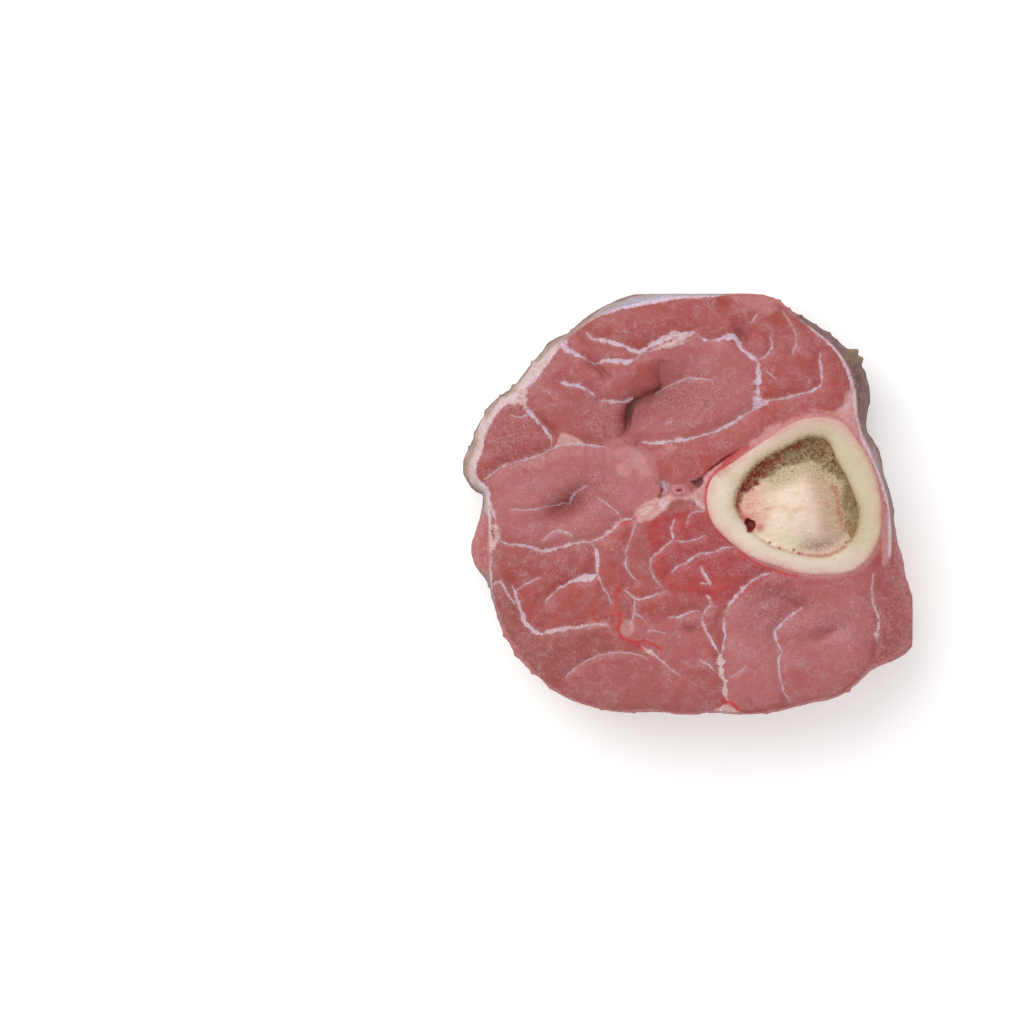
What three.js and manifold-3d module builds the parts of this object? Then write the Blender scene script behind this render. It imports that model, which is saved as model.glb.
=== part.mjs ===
// A raw osso buco slice: leg meat cut straight across, with its ring of bone, lying on its lower cut face.
// Millimetres. +Z is up, and +X and +Y lie in the cut faces. The origin is under the middle of the slice.
import * as THREE from 'three';
import { mergeVertices } from 'three/addons/utils/BufferGeometryUtils.js';
import Module from 'manifold-3d';

const wasm = await Module();
wasm.setup();

// Driving sizes
const THICKNESS = 28; // between the two cut faces
const CLEARANCE = 0.3; // between pieces that touch
const OVERSHOOT = 4; // how far a cutting shape runs past what it cuts
const MEAT_GRID = 1.8; // spacing of the relief on the upper cut face
const BONE_GRID = 1.3; // spacing of the relief inside the bone
const RIM_STEP = 2.7; // spacing of the samples round the meat
const BONE_STEP = 1.9; // spacing of the samples round the bone

// The edge of the upper cut face, counter-clockwise from the thin strip of meat beside the bone.
// The third number is how far the side bulges out past the edge there.
const RIM = [
  [46.9, -5.5, 1.1], [46.2, 0.5, 1], [44.6, 5.8, 0.9], [42.2, 11.5, 1.9], [39.8, 17, 1.7], [38.7, 21.5, 3],
  [38.2, 26.2, 3.8], [36.7, 31.4, 3.3], [33.8, 36.2, 1.9], [29.3, 40.2, 1], [23.4, 44.2, 0.9],
  [19.6, 47.7, 0.5], [14, 49.1, 0.3], [6.4, 48.7, 0.7], [-1, 48.6, 1.1], [-10, 47.4, 1.9],
  [-18, 45.2, 1.6], [-24, 42.4, 0.9], [-28.4, 39.2, 0.5], [-31.4, 36.4, 1.6], [-35, 31.8, 2.3],
  [-38.5, 27.9, 2], [-41.4, 25.2, 1.8], [-45.2, 22.1, 1.6], [-47.8, 18, 1.9], [-49.2, 12.8, 2.7],
  [-50.8, 8.9, 2.8], [-50, 5.4, 2], [-47.9, 2.8, 1.2], [-47.6, -0.8, 1.3], [-47.2, -4.8, 2.8],
  [-46.8, -9.6, 4.8], [-46.9, -14.4, 3.9], [-47, -18.8, 0.6], [-45.9, -23.4, 0.4], [-43.6, -29.3, 0.4],
  [-41, -33.9, 0.4], [-37.9, -37.9, 0.8], [-34.7, -41.4, 0.6], [-30.8, -44, 1], [-25.5, -46.6, 0.4],
  [-18, -48.5, 0.4], [-10, -48.3, 0.4], [-2, -49.1, 0.4], [6, -48.8, 0.4], [14, -49.3, 0.3],
  [21, -48.2, 0.3], [28, -46.3, 0.3], [34.6, -44.9, 0.3], [39, -41.6, 0.4], [41.9, -38, 1.6],
  [43.2, -34.8, 6.2], [44, -30.8, 8.4], [44, -26, 8.9], [43.7, -21.4, 7.9], [44.8, -17, 5.2],
  [46.3, -13, 2.8], [46.9, -9.4, 1.5],
];
const WIDEST_DEPTH = 0.6; // share of the thickness at which the side is widest
const FOOT_SHARE = 0.7; // how much of the bulge is left at the lower cut face
const SIDE_DEPTHS = [0, 0.03, 0.09, 0.18, 0.3, 0.44, 0.6, 0.78, 0.93, 1];

// The soft edge of the upper face rolls down towards the rim.
const RIM_ROLL = { depth: 1.2, reach: 3 };

// White seams between the muscles: each runs in a shallow groove with broad shoulders.
const SEAMS = [
  { path: [[-24.5, 39.8], [-18, 37.6], [-12, 36], [-5, 38.6], [1, 40], [6, 38]], depth: 0.9, shoulder: 2.2 },
  { path: [[6, 38], [10, 39.2], [12, 36], [15.5, 33], [15.6, 26], [16, 23.5]], depth: 0.9, shoulder: 2 },
  { path: [[16, 23.5], [9, 19], [0, 15.2], [-7, 14.4], [-12.5, 14.6]], depth: 0.8, shoulder: 2 },
  { path: [[16, 23.5], [23, 25], [30.5, 28], [37, 28]], depth: 0.7, shoulder: 2 },
  { path: [[-30, 37], [-24, 33], [-18, 33.6], [-11, 35], [-5, 37]], depth: 0.8, shoulder: 1.8 },
  { path: [[-41, 24.5], [-36.5, 20.5], [-33.5, 16], [-32.6, 13.4]], depth: 1, shoulder: 1.8 },
  { path: [[-48, 6], [-42, 9.5], [-35, 11.6], [-28, 13.6], [-20.5, 13.6]], depth: 0.8, shoulder: 2 },
  { path: [[-46.5, -8.5], [-38, -10.2], [-33.5, -11.3], [-23, -8.8], [-13, -4]], depth: 0.9, shoulder: 2 },
  { path: [[-13, -4], [-7, -0.5], [0, 1.5], [3, 0.5]], depth: 0.7, shoulder: 1.6 },
  { path: [[-23.5, -9.3], [-22, -13], [-22.5, -17], [-29, -18.6], [-33.5, -23]], depth: 0.7, shoulder: 2 },
  { path: [[-42, -19.5], [-40, -25], [-36.8, -30.3], [-30, -30], [-19.5, -28.5]], depth: 0.9, shoulder: 2 },
  { path: [[-13, -22.5], [-15, -29], [-12.5, -33.5], [-6, -37.5]], depth: 1, shoulder: 1.8 },
  { path: [[4.5, -24.5], [0, -25.6], [-5.5, -27]], depth: 0.6, shoulder: 1.8 },
  { path: [[18, -16.5], [10.3, -22.3], [7.8, -29], [7, -37], [8.3, -47]], depth: 0.9, shoulder: 2 },
  { path: [[26, -24.3], [20.2, -30], [21.2, -38], [23, -46.5]], depth: 0.8, shoulder: 2 },
];

// Soft hollows in the upper face: centre, half length and half width, turn in degrees, depth.
const HOLLOWS = [
  { at: [-8, 23], half: [12, 5.5], turn: 55, depth: 2.2 },
  { at: [-29, -0.6], half: [6, 3], turn: 35, depth: 2 },
  { at: [-23.5, 23.5], half: [6, 2.5], turn: -35, depth: 0.8 },
  { at: [12.5, 40], half: [4, 2.2], turn: -70, depth: 1.2 },
  { at: [21.5, -22.6], half: [6, 2.4], turn: -25, depth: 1.6 },
  { at: [31.5, -30.8], half: [5, 1.6], turn: 20, depth: 1.3 },
  { at: [8.8, 46.6], half: [3, 1.8], turn: 0, depth: 0.9 },
  { at: [0.5, -29.8], half: [3, 1], turn: -20, depth: 0.7 },
  { at: [1.7, 5], half: [1.4, 1.1], turn: 40, depth: 4 },
  { at: [-6.9, 2.4], half: [1.7, 0.8], turn: 70, depth: 1.6 },
];

// Folds where one muscle stands over its neighbour: the ground on the right of the path drops away.
const FOLDS = [
  { path: [[-16.8, 15], [-14.9, 18.5], [-14.8, 22], [-10.5, 25], [-8.2, 29], [-7, 34]], drop: 2.4, reach: 5 },
  { path: [[-30.6, 14.6], [-34.2, 18.6], [-38, 22]], drop: 1.2, reach: 1.6 },
  { path: [[-19.5, 28], [-21.5, 31], [-25, 33.2]], drop: 0.9, reach: 2.5 },
];
const FOLD_LIP = 0.6; // how far the upper side of a fold is rounded

// Bone: its outer and inner outlines, counter-clockwise from the thick wall on the left.
const BONE_OUTER = [
  [3.6, 1.5], [4.8, -4.2], [8.6, -8.6], [13.7, -12.4], [20.4, -15], [27.3, -16.7], [34, -16.8],
  [39.6, -15.2], [43.3, -10.7], [44.9, -4.9], [44.4, 2.4], [42.4, 9.5], [39, 15], [35.5, 19.3],
  [30.7, 20.4], [24.6, 19.3], [17.1, 14.6], [9.6, 9.5], [5, 6],
];
const BONE_INNER = [
  [10.7, -0.5], [12.9, -5.2], [18.5, -9.8], [25.8, -12.1], [32, -12.4], [37.2, -9.3], [39.2, -3.5],
  [37.8, 3.4], [34.4, 10], [31.8, 14.6], [27.5, 15.2], [22.4, 12.9], [16.6, 9.7], [12.2, 4.6],
];
const BONE_PROUD = 0.6; // the sawn ring stands above the softer meat
const BONE_EDGE = 0.4; // broken outer edge of the ring
const BONE_MOUTH = { depth: 2.4, width: 0.9 }; // worn inner edge of the ring

// Marrow: a low dome of fat that fills the near part of the ring, with one open vein.
const MARROW = [
  [12.2, 1.2], [12.2, -9], [18, -13], [27, -15], [35, -15], [37.4, -10], [35.9, -5], [35.6, 0],
  [34.6, 4.4], [31.6, 7], [28.6, 9.3], [24.8, 8.6], [20, 6.5], [15.5, 4.2],
];
const MARROW_DOME = { at: [24, -3], half: [11, 9], turn: 20, depth: 2.1 };
const MARROW_SUNK = 2.2; // the edge of the dome below the upper face of the meat
const VEIN = { at: [15.3, -5.1], half: [1, 1.4], turn: 25, depth: 7 };

// Spongy bone: the pitted crescent between the ring and the marrow, sawn lower than both.
const SPONGE_SUNK = 2.9;
const SPONGE_PITS = { rise: 0.4, pitch: 3.1 };

// Vessel and nerve that run down through the meat beside the bone.
const ARTERY = { at: [-2.7, 3.1], half: [2.2, 1.5], turn: 0, bore: [0.65, 0.3] };
const NERVE = { at: [-10.8, -1.6], half: [2.3, 1.1], turn: 25 };
const CORD_PROUD = 0.4; // how far both stand above the meat round them
const CORD_SIDES = 24;
const BASE_GAP = 0.2; // the marrow, the artery and the nerve end just above the lower face

const MATERIALS = {
  muscle: new THREE.MeshStandardMaterial({ color: 0xa9514f, roughness: 0.5, metalness: 0 }),
  bone: new THREE.MeshStandardMaterial({ color: 0xdccdb0, roughness: 0.6, metalness: 0 }),
  sponge: new THREE.MeshStandardMaterial({ color: 0x8d7658, roughness: 0.7, metalness: 0 }),
  marrow: new THREE.MeshStandardMaterial({ color: 0xdfb999, roughness: 0.45, metalness: 0 }),
  vessel: new THREE.MeshStandardMaterial({ color: 0xb86a70, roughness: 0.4, metalness: 0 }),
  nerve: new THREE.MeshStandardMaterial({ color: 0xdba9a0, roughness: 0.4, metalness: 0 }),
};

// A smooth closed outline through the given points, sampled at even steps. A third number is kept as z.
function closedOutline(points, step) {
  const curve = new THREE.CatmullRomCurve3(points.map(([x, y, z = 0]) => new THREE.Vector3(x, y, z)), true);
  const count = Math.round(curve.getLength() / step);
  return curve.getSpacedPoints(count).slice(0, count);
}

// A smooth open line through the given points.
function openLine(points) {
  return new THREE.SplineCurve(points.map(([x, y]) => new THREE.Vector2(x, y))).getPoints(points.length * 5);
}

// Unit vectors that point out of a counter-clockwise outline.
function outwardNormals(outline) {
  return outline.map((_, i) => {
    const next = outline[(i + 1) % outline.length];
    const previous = outline.at(i - 1);
    return new THREE.Vector2(next.y - previous.y, previous.x - next.x).normalize();
  });
}

// Every point of an outline moved outwards by its share of a distance.
function offsetOutline(outline, distance, shares) {
  const normals = outwardNormals(outline);
  return outline.map(({ x, y }, i) => (
    new THREE.Vector2(x, y).addScaledVector(normals[i], distance * (shares ? shares[i] : 1))));
}

function ellipse({ at, half, turn }, sides) {
  const angle = THREE.MathUtils.degToRad(turn);
  const centre = new THREE.Vector2(...at);
  return Array.from({ length: sides }, (_, i) => {
    const t = (2 * Math.PI * i) / sides;
    return new THREE.Vector2(half[0] * Math.cos(t), half[1] * Math.sin(t))
      .rotateAround(new THREE.Vector2(), angle)
      .add(centre);
  });
}

// A closed body through outlines with the same number of points, stacked from the lowest up.
function loft(layers) {
  const sides = layers[0].outline.length;
  const positions = layers.flatMap(({ outline, z }) => outline.flatMap(({ x, y }) => [x, y, z]));
  const cap = THREE.ShapeUtils.triangulateShape(layers[0].outline, []);
  const top = (layers.length - 1) * sides;
  const index = cap.flatMap(([a, b, c]) => [a, c, b, top + a, top + b, top + c]);
  for (let layer = 0; layer < layers.length - 1; layer += 1) {
    for (let i = 0; i < sides; i += 1) {
      const a = layer * sides + i;
      const b = layer * sides + ((i + 1) % sides);
      index.push(a, b, b + sides, a, b + sides, a + sides);
    }
  }
  const geometry = new THREE.BufferGeometry();
  geometry.setAttribute('position', new THREE.Float32BufferAttribute(positions, 3));
  geometry.setIndex(index);
  return geometry;
}

function column(outline, bottom, top) {
  return loft([{ outline, z: bottom }, { outline, z: top }]);
}

// A block over an outline's bounds, from below the slice up to a relief.
function reliefBlock(outline, step, heightAt) {
  const bounds = new THREE.Box2().setFromPoints(outline).expandByScalar(OVERSHOOT);
  const size = bounds.getSize(new THREE.Vector2());
  const centre = bounds.getCenter(new THREE.Vector2());
  const across = Math.round(size.x / step);
  const along = Math.round(size.y / step);
  const block = new THREE.BoxGeometry(size.x, size.y, OVERSHOOT, across, along, 1);
  block.translate(centre.x, centre.y, 0);
  const position = block.getAttribute('position');
  for (let i = 0; i < position.count; i += 1) {
    const raised = position.getZ(i) > 0;
    position.setZ(i, raised ? heightAt(position.getX(i), position.getY(i)) : -OVERSHOOT);
  }
  return block;
}

function toSolid(geometry) {
  const bare = geometry.clone();
  bare.deleteAttribute('normal');
  bare.deleteAttribute('uv');
  const merged = mergeVertices(bare, 1e-4);
  return new wasm.Manifold(new wasm.Mesh({
    numProp: 3,
    vertProperties: merged.getAttribute('position').array,
    triVerts: new Uint32Array(merged.index.array),
  }));
}

function toMesh(name, solid, material) {
  const { numProp, vertProperties, triVerts } = solid.getMesh();
  const geometry = new THREE.BufferGeometry();
  const vertices = new THREE.InterleavedBuffer(vertProperties, numProp);
  geometry.setAttribute('position', new THREE.InterleavedBufferAttribute(vertices, 3, 0));
  geometry.setIndex(new THREE.BufferAttribute(triVerts, 1));
  const plain = geometry.toNonIndexed();
  plain.computeVertexNormals();
  const mesh = new THREE.Mesh(plain, material);
  mesh.name = name;
  return mesh;
}

// Distance from a point to a line of points, and the side it lies on: positive is on the right.
function nearest(line, x, y) {
  let best = { distance: Infinity, side: 1, share: 0 };
  for (let i = 0; i < line.length - 1; i += 1) {
    const ax = line[i].x;
    const ay = line[i].y;
    const dx = line[i + 1].x - ax;
    const dy = line[i + 1].y - ay;
    const t = THREE.MathUtils.clamp(((x - ax) * dx + (y - ay) * dy) / (dx * dx + dy * dy), 0, 1);
    const distance = Math.hypot(x - ax - t * dx, y - ay - t * dy);
    if (distance < best.distance) {
      const cross = dx * (y - ay) - dy * (x - ax);
      best = { distance, side: cross > 0 ? -1 : 1, share: (i + t) / (line.length - 1) };
    }
  }
  return best;
}

function hollowDepth({ at, half, turn, depth }, x, y) {
  const angle = THREE.MathUtils.degToRad(turn);
  const along = (x - at[0]) * Math.cos(angle) + (y - at[1]) * Math.sin(angle);
  const across = (y - at[1]) * Math.cos(angle) - (x - at[0]) * Math.sin(angle);
  return depth * Math.exp(-((along / half[0]) ** 2) - (across / half[1]) ** 2);
}

function foldDepth({ line, drop, reach }, x, y) {
  const { distance, side, share } = nearest(line, x, y);
  const fade = Math.sqrt(Math.sin(Math.PI * share));
  return drop * fade * Math.exp(-distance / (side > 0 ? reach : FOLD_LIP));
}

const rim = closedOutline(RIM, RIM_STEP);
const rimLoop = [...rim, rim[0]];
const bulges = rim.map(({ z }) => z);
const boneOuter = closedOutline(BONE_OUTER, BONE_STEP);
const boneInner = closedOutline(BONE_INNER, BONE_STEP);
const marrowEdge = closedOutline(MARROW, BONE_STEP);
const seams = SEAMS.map(({ path, ...sizes }) => ({ line: openLine(path), ...sizes }));
const folds = FOLDS.map(({ path, ...sizes }) => ({ line: openLine(path), ...sizes }));

// Height of the upper cut face of the meat.
function meatHeight(x, y) {
  const edge = nearest(rimLoop, x, y);
  const inside = edge.side < 0 ? edge.distance : 0;
  const roll = RIM_ROLL.depth * Math.exp(-inside / RIM_ROLL.reach);
  const grooves = seams.map(({ line, depth, shoulder }) => (
    depth * Math.exp(-((nearest(line, x, y).distance / shoulder) ** 2))));
  const hollows = HOLLOWS.map((hollow) => hollowDepth(hollow, x, y));
  const steps = folds.map((fold) => foldDepth(fold, x, y));
  const relief = [...hollows, ...steps].reduce((sum, depth) => sum + depth, Math.max(...grooves));
  return THICKNESS - roll - relief;
}

function marrowHeight(x, y) {
  return THICKNESS - MARROW_SUNK + hollowDepth(MARROW_DOME, x, y);
}

function spongeHeight(x, y) {
  const wave = (2 * Math.PI) / SPONGE_PITS.pitch;
  return THICKNESS - SPONGE_SUNK + SPONGE_PITS.rise * Math.sin(x * wave) * Math.sin(y * wave);
}

// How much of the bulge is reached at a share of the depth: a round shoulder, then a tucked foot.
function bulgeShare(depth) {
  if (depth < WIDEST_DEPTH) return Math.sqrt(1 - (1 - depth / WIDEST_DEPTH) ** 2);
  const below = (depth - WIDEST_DEPTH) / (1 - WIDEST_DEPTH);
  return 1 - (1 - FOOT_SHARE) * below ** 2;
}

function makeMeat() {
  const layers = SIDE_DEPTHS.map((depth) => ({
    outline: offsetOutline(rim, bulgeShare(depth), bulges),
    z: THICKNESS * (1 - depth),
  })).reverse();
  layers.push({ outline: rim, z: THICKNESS + OVERSHOOT });
  const widest = offsetOutline(rim, 1, bulges);
  let meat = toSolid(loft(layers)).intersect(toSolid(reliefBlock(widest, MEAT_GRID, meatHeight)));
  for (const outline of [boneOuter, ellipse(ARTERY, CORD_SIDES), ellipse(NERVE, CORD_SIDES)]) {
    const hole = offsetOutline(outline, CLEARANCE);
    meat = meat.subtract(toSolid(column(hole, -OVERSHOOT, THICKNESS + OVERSHOOT)));
  }
  return toMesh('meat', meat, MATERIALS.muscle);
}

function makeBone() {
  const top = THICKNESS + BONE_PROUD;
  const body = loft([
    { outline: boneOuter, z: 0 },
    { outline: boneOuter, z: top - BONE_EDGE },
    { outline: offsetOutline(boneOuter, -BONE_EDGE), z: top },
  ]);
  const mouth = loft([
    { outline: boneInner, z: -OVERSHOOT },
    { outline: boneInner, z: top - BONE_MOUTH.depth },
    { outline: offsetOutline(boneInner, BONE_MOUTH.width / 2), z: top - BONE_MOUTH.depth / 3 },
    { outline: offsetOutline(boneInner, BONE_MOUTH.width), z: top + CLEARANCE },
  ]);
  return toMesh('bone', toSolid(body).subtract(toSolid(mouth)), MATERIALS.bone);
}

// What fills the ring, up to a relief.
function ringFilling(heightAt) {
  const outline = offsetOutline(boneInner, -CLEARANCE);
  const plug = toSolid(column(outline, BASE_GAP, THICKNESS + OVERSHOOT));
  return plug.intersect(toSolid(reliefBlock(outline, BONE_GRID, heightAt)));
}

function makeMarrow() {
  const vein = column(ellipse(VEIN, CORD_SIDES), THICKNESS - VEIN.depth, THICKNESS + OVERSHOOT);
  const part = toSolid(column(marrowEdge, -OVERSHOOT, THICKNESS + OVERSHOOT));
  const marrow = ringFilling(marrowHeight).intersect(part).subtract(toSolid(vein));
  return toMesh('marrow', marrow, MATERIALS.marrow);
}

function makeSpongyBone() {
  const cut = column(offsetOutline(marrowEdge, CLEARANCE), -OVERSHOOT, THICKNESS + OVERSHOOT);
  return toMesh('spongy_bone', ringFilling(spongeHeight).subtract(toSolid(cut)), MATERIALS.sponge);
}

// The height of the meat round a vessel or nerve, plus what stands proud.
function cordTop({ at: [x, y], half: [reach] }) {
  const around = [[-reach, 0], [reach, 0], [0, -reach], [0, reach]];
  const heights = around.map(([dx, dy]) => meatHeight(x + dx, y + dy));
  return heights.reduce((sum, height) => sum + height) / heights.length + CORD_PROUD;
}

// A round-ended rod of oval section.
function rod(cord) {
  const top = cordTop(cord);
  const outline = ellipse(cord, CORD_SIDES);
  return toSolid(loft([
    { outline, z: BASE_GAP },
    { outline, z: top - CORD_PROUD },
    { outline: offsetOutline(outline, -CORD_PROUD / 2), z: top - CORD_PROUD / 3 },
    { outline: offsetOutline(outline, -CORD_PROUD), z: top },
  ]));
}

function makeArtery() {
  const bore = ellipse({ ...ARTERY, half: ARTERY.bore }, CORD_SIDES);
  const tube = rod(ARTERY).subtract(toSolid(column(bore, -OVERSHOOT, THICKNESS + OVERSHOOT)));
  return toMesh('artery', tube, MATERIALS.vessel);
}

function makeNerve() {
  return toMesh('nerve', rod(NERVE), MATERIALS.nerve);
}

const slice = new THREE.Group();
slice.name = 'osso_buco_slice';
slice.add(makeMeat(), makeBone(), makeSpongyBone(), makeMarrow(), makeArtery(), makeNerve());

// Put the origin under the middle of the slice.
const middle = new THREE.Box3().setFromObject(slice).getCenter(new THREE.Vector3());
slice.position.set(-middle.x, -middle.y, 0);

export default slice;
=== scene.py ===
"""A raw osso buco slice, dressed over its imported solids: wet cut muscle with pale seams and silverskin,
a sawn ring of bone, pitted spongy bone, soft marrow, an artery and a nerve."""
import math
from types import SimpleNamespace

import bpy
import numpy as np
from mathutils import Matrix, Vector
from mathutils.geometry import delaunay_2d_cdt


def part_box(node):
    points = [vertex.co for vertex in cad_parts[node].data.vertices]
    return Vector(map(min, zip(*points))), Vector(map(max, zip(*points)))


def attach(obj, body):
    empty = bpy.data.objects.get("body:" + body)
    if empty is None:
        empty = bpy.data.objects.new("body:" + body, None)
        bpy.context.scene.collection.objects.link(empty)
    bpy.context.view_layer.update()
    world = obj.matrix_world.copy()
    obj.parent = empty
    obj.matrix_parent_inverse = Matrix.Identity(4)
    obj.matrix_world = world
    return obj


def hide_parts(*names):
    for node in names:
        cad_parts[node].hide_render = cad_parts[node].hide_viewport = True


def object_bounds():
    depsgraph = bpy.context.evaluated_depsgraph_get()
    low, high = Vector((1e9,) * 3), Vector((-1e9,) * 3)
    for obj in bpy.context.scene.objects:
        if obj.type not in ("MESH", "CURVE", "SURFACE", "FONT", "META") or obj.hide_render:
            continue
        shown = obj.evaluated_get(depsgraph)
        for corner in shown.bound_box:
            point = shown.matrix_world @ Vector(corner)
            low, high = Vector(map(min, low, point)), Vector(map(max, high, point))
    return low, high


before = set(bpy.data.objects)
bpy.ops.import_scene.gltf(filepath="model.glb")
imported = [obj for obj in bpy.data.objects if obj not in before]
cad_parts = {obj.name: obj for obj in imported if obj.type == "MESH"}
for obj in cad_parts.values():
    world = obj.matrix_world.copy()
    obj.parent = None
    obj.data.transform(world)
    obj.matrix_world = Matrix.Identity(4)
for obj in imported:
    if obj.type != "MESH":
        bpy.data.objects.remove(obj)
cad_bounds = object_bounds()

# Everything below is drawn in millimetres. A finished mesh is moved to the frame's place and units.
MM = 0.001
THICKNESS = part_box("meat")[1].z / MM
BONE_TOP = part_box("bone")[1].z / MM
RANDOM = np.random.default_rng(7)
EDGE_STEP = 0.45  # between points of the rim and the ring
PATH_STEP = 0.6  # between points of a drawn path
HAIR_GAP = 0.01  # between pieces that touch
LIFT = 0.2  # from the underside up to the filling and the cords
SHARP_ANGLE = 62  # an edge sharper than this isn't smoothed over
SEAM_FADE = 1.0  # a seam fades out over this width, and its ragged edge is drawn inside the fade
ROLL_DEPTH, ROLL_REACH = 1.2, 3.0  # the cut face rolls off this far at the rim
FOLD_LIP = 1.1  # reach of a fold's upper edge
WIDEST_DEPTH = 0.6  # share of the thickness at which the side is widest
FOOT_SHARE = 0.7  # how much of the bulge is left at the lower cut face
SURROUND_TONE = SURROUND_BROWN = 0.35  # of meat outside the drawn muscles
FACE_GRID = (0.39, 0.27)  # between points of the upper face: on plain meat, and near a seam or fold
UNDER_GRID = (1.1, 0.6)  # the same for the lower face
HOLE_POINTS, CORD_POINTS, RING_POINTS = 48, 72, 420  # round a hole for a cord, a cord and the bone
SEARCH = 2  # how far from a path the mesh looks for it

# Edge of the upper cut face, counter-clockwise from the strip of meat beside the bone. The third number is
# how far the side bulges out past it.
RIM = [
    (46.9, -5.5, 1.3), (46.2, 0.5, 1.2), (44.6, 5.8, 1.2), (42.2, 11.5, 2.2), (39.8, 17, 2),
    (38.7, 21.5, 3.2), (38.2, 26.2, 4.1), (36.7, 31.4, 3.6), (33.8, 36.2, 2.4), (29.3, 40.2, 1.9),
    (23.4, 44.2, 1.5), (19.6, 47.7, 0.7), (14, 49.1, 0.5), (6.4, 48.7, 1), (-1, 48.6, 1.3),
    (-10, 47.4, 2.5), (-18, 45.2, 2.3), (-24, 42.4, 1.6), (-28.4, 39.2, 1.2), (-31.4, 36.4, 2.5),
    (-35, 31.8, 2.9), (-38.5, 27.9, 2.6), (-41.4, 25.2, 2.3), (-45.2, 22.1, 2.5), (-47.8, 18, 2.5),
    (-49.2, 12.8, 3.1), (-50.8, 8.9, 3.1), (-50, 5.4, 2.4), (-47.9, 2.8, 1.6), (-47.6, -0.8, 1.7),
    (-47.2, -4.8, 3.3), (-46.8, -9.6, 5.3), (-46.9, -14.4, 4.4), (-47, -18.8, 0.9), (-45.9, -23.4, 0.9),
    (-43.6, -29.3, 1.2), (-41, -33.9, 1.3), (-37.9, -37.9, 1.3), (-34.7, -41.4, 0.8), (-30.8, -44, 1.2),
    (-25.5, -46.6, 1.1), (-18, -48.5, 0.9), (-10, -48.3, 0.9), (-2, -49.1, 0.8), (6, -48.8, 0.8),
    (14, -49.3, 0.5), (21, -48.2, 0.8), (28, -46.3, 0.9), (34.6, -44.9, 0.6), (39, -41.6, 0.8),
    (41.9, -38, 2), (43.2, -34.8, 6.2), (44, -30.8, 9.4), (44, -26, 9.8), (43.9, -21.4, 9),
    (44.9, -17, 6.9), (46.3, -13, 4.3), (46.9, -9.4, 2.2),
]

# What covers the side round the slice: a place on the rim, how wide a white lining shows on the cut face
# there, how pale the skin below it is, and how much bare muscle shows.
SIDE_LOOKS = [
    ((47, -8), 0.5, 0.2, 0.6), ((46, 2), 0.5, 0.3, 0.1), ((43, 10), 0.5, 0.5, 0.0),
    ((40, 16), 0.5, 0.15, 0.0), ((38, 27), 0.45, 0.0, 0.0), ((31, 39), 0.35, 0.0, 0.0),
    ((22, 46), 0.0, 0.0, 0.7), ((12, 49), 0.0, 0.1, 0.7), ((4, 49), 0.35, 0.7, 0.0),
    ((-8, 47.8), 0.5, 1.0, 0.0), ((-20, 44), 0.2, 0.7, 0.0), ((-28, 39), 0.0, 0.3, 0.5),
    ((-32, 36), 0.5, 0.9, 0.0), ((-40, 26), 0.45, 1.0, 0.0), ((-50, 10), 0.4, 1.1, 0.0),
    ((-48, 1), 0.5, 0.9, 0.0), ((-47, -5), 0.3, 0.3, 0.8), ((-47, -12), 0.2, 0.0, 1.0),
    ((-47, -19), 0.25, 0.3, 0.2), ((-42, -32), 0.0, 0.05, 0.7), ((-31, -44), 0.0, 0.05, 0.85),
    ((-16, -48.5), 0.15, 0.3, 0.7), ((0, -49), 0.0, 0.0, 0.95), ((8, -49), 0.3, 0.8, 0.5),
    ((14, -49), 0.0, 0.0, 0.95), ((34, -45), 0.0, 0.0, 0.95), ((42, -38), 0.0, 0.0, 1.0),
    ((44, -28), 0.0, 0.0, 1.0), ((46, -14), 0.1, 0.1, 1.0),
]

# Small tabs and puckers of skin that stand out of the side: place on the rim, how far, half width.
TABS = [
    ((37.4, 29.8), 0.3, 0.7), ((36.2, 32.2), 1.8, 0.8), ((35.3, 33.8), 2.3, 0.9), ((34.2, 35.6), 0.3, 0.6),
    ((33, 37), 0.4, 0.4), ((31.4, 38.6), 0.5, 0.6), ((28.6, 40.8), 0.4, 0.4), ((25.2, 43), 0.4, 0.5),
    ((22.4, 45.2), 0.5, 0.4), ((20.4, 47.2), 0.5, 0.4), ((-27.4, 39.8), 0.4, 0.5),
    ((-35.3, 31.5), 0.6, 0.5), ((-40.6, 26), 0.5, 0.7), ((-43.6, 23.5), 0.5, 0.4),
    ((-46.4, 20.4), 0.5, 0.5), ((-48.4, 16), 0.4, 0.7), ((-49.6, 12), 0.5, 0.5), ((-50.6, 8), 0.4, 0.6),
    ((-46.9, -19.4), 0.4, 0.4), ((-42.9, -30.6), 0.6, 0.6), ((-40.2, -35), 0.5, 0.7),
    ((-36.6, -39.4), 0.6, 0.6), ((-32.8, -43), 0.5, 0.8), ((-21, -48), 0.3, 0.5),
    ((-13.5, -48.4), 0.3, 0.4), ((11.8, -49.2), 0.4, 0.6), ((17.6, -48.9), 0.3, 0.5),
    ((36.6, -43.6), 0.5, 0.6),
]

# The ring's outer and inner edge, and the marrow's edge, part of which is cut off by the ring.
BONE_OUTER = [
    (3.6, 1.5), (4.8, -4.2), (8.6, -8.6), (13.7, -12.4), (20.4, -15), (27.3, -16.7), (34, -16.8),
    (39.6, -15.2), (43.3, -10.7), (44.9, -4.9), (44.4, 2.4), (42.4, 9.5), (39, 15), (35.5, 19.3),
    (30.7, 20.4), (24.6, 19.3), (17.1, 14.6), (9.6, 9.5), (5, 6),
]

BONE_INNER = [
    (10.7, -0.5), (12.9, -5.2), (18.5, -9.8), (25.8, -12.1), (32, -12.4), (37.2, -9.3), (39.2, -3.5),
    (37.8, 3.4), (34.4, 10), (31.8, 14.6), (27.5, 15.2), (22.4, 12.9), (16.6, 9.7), (12.2, 4.6),
]

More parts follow.
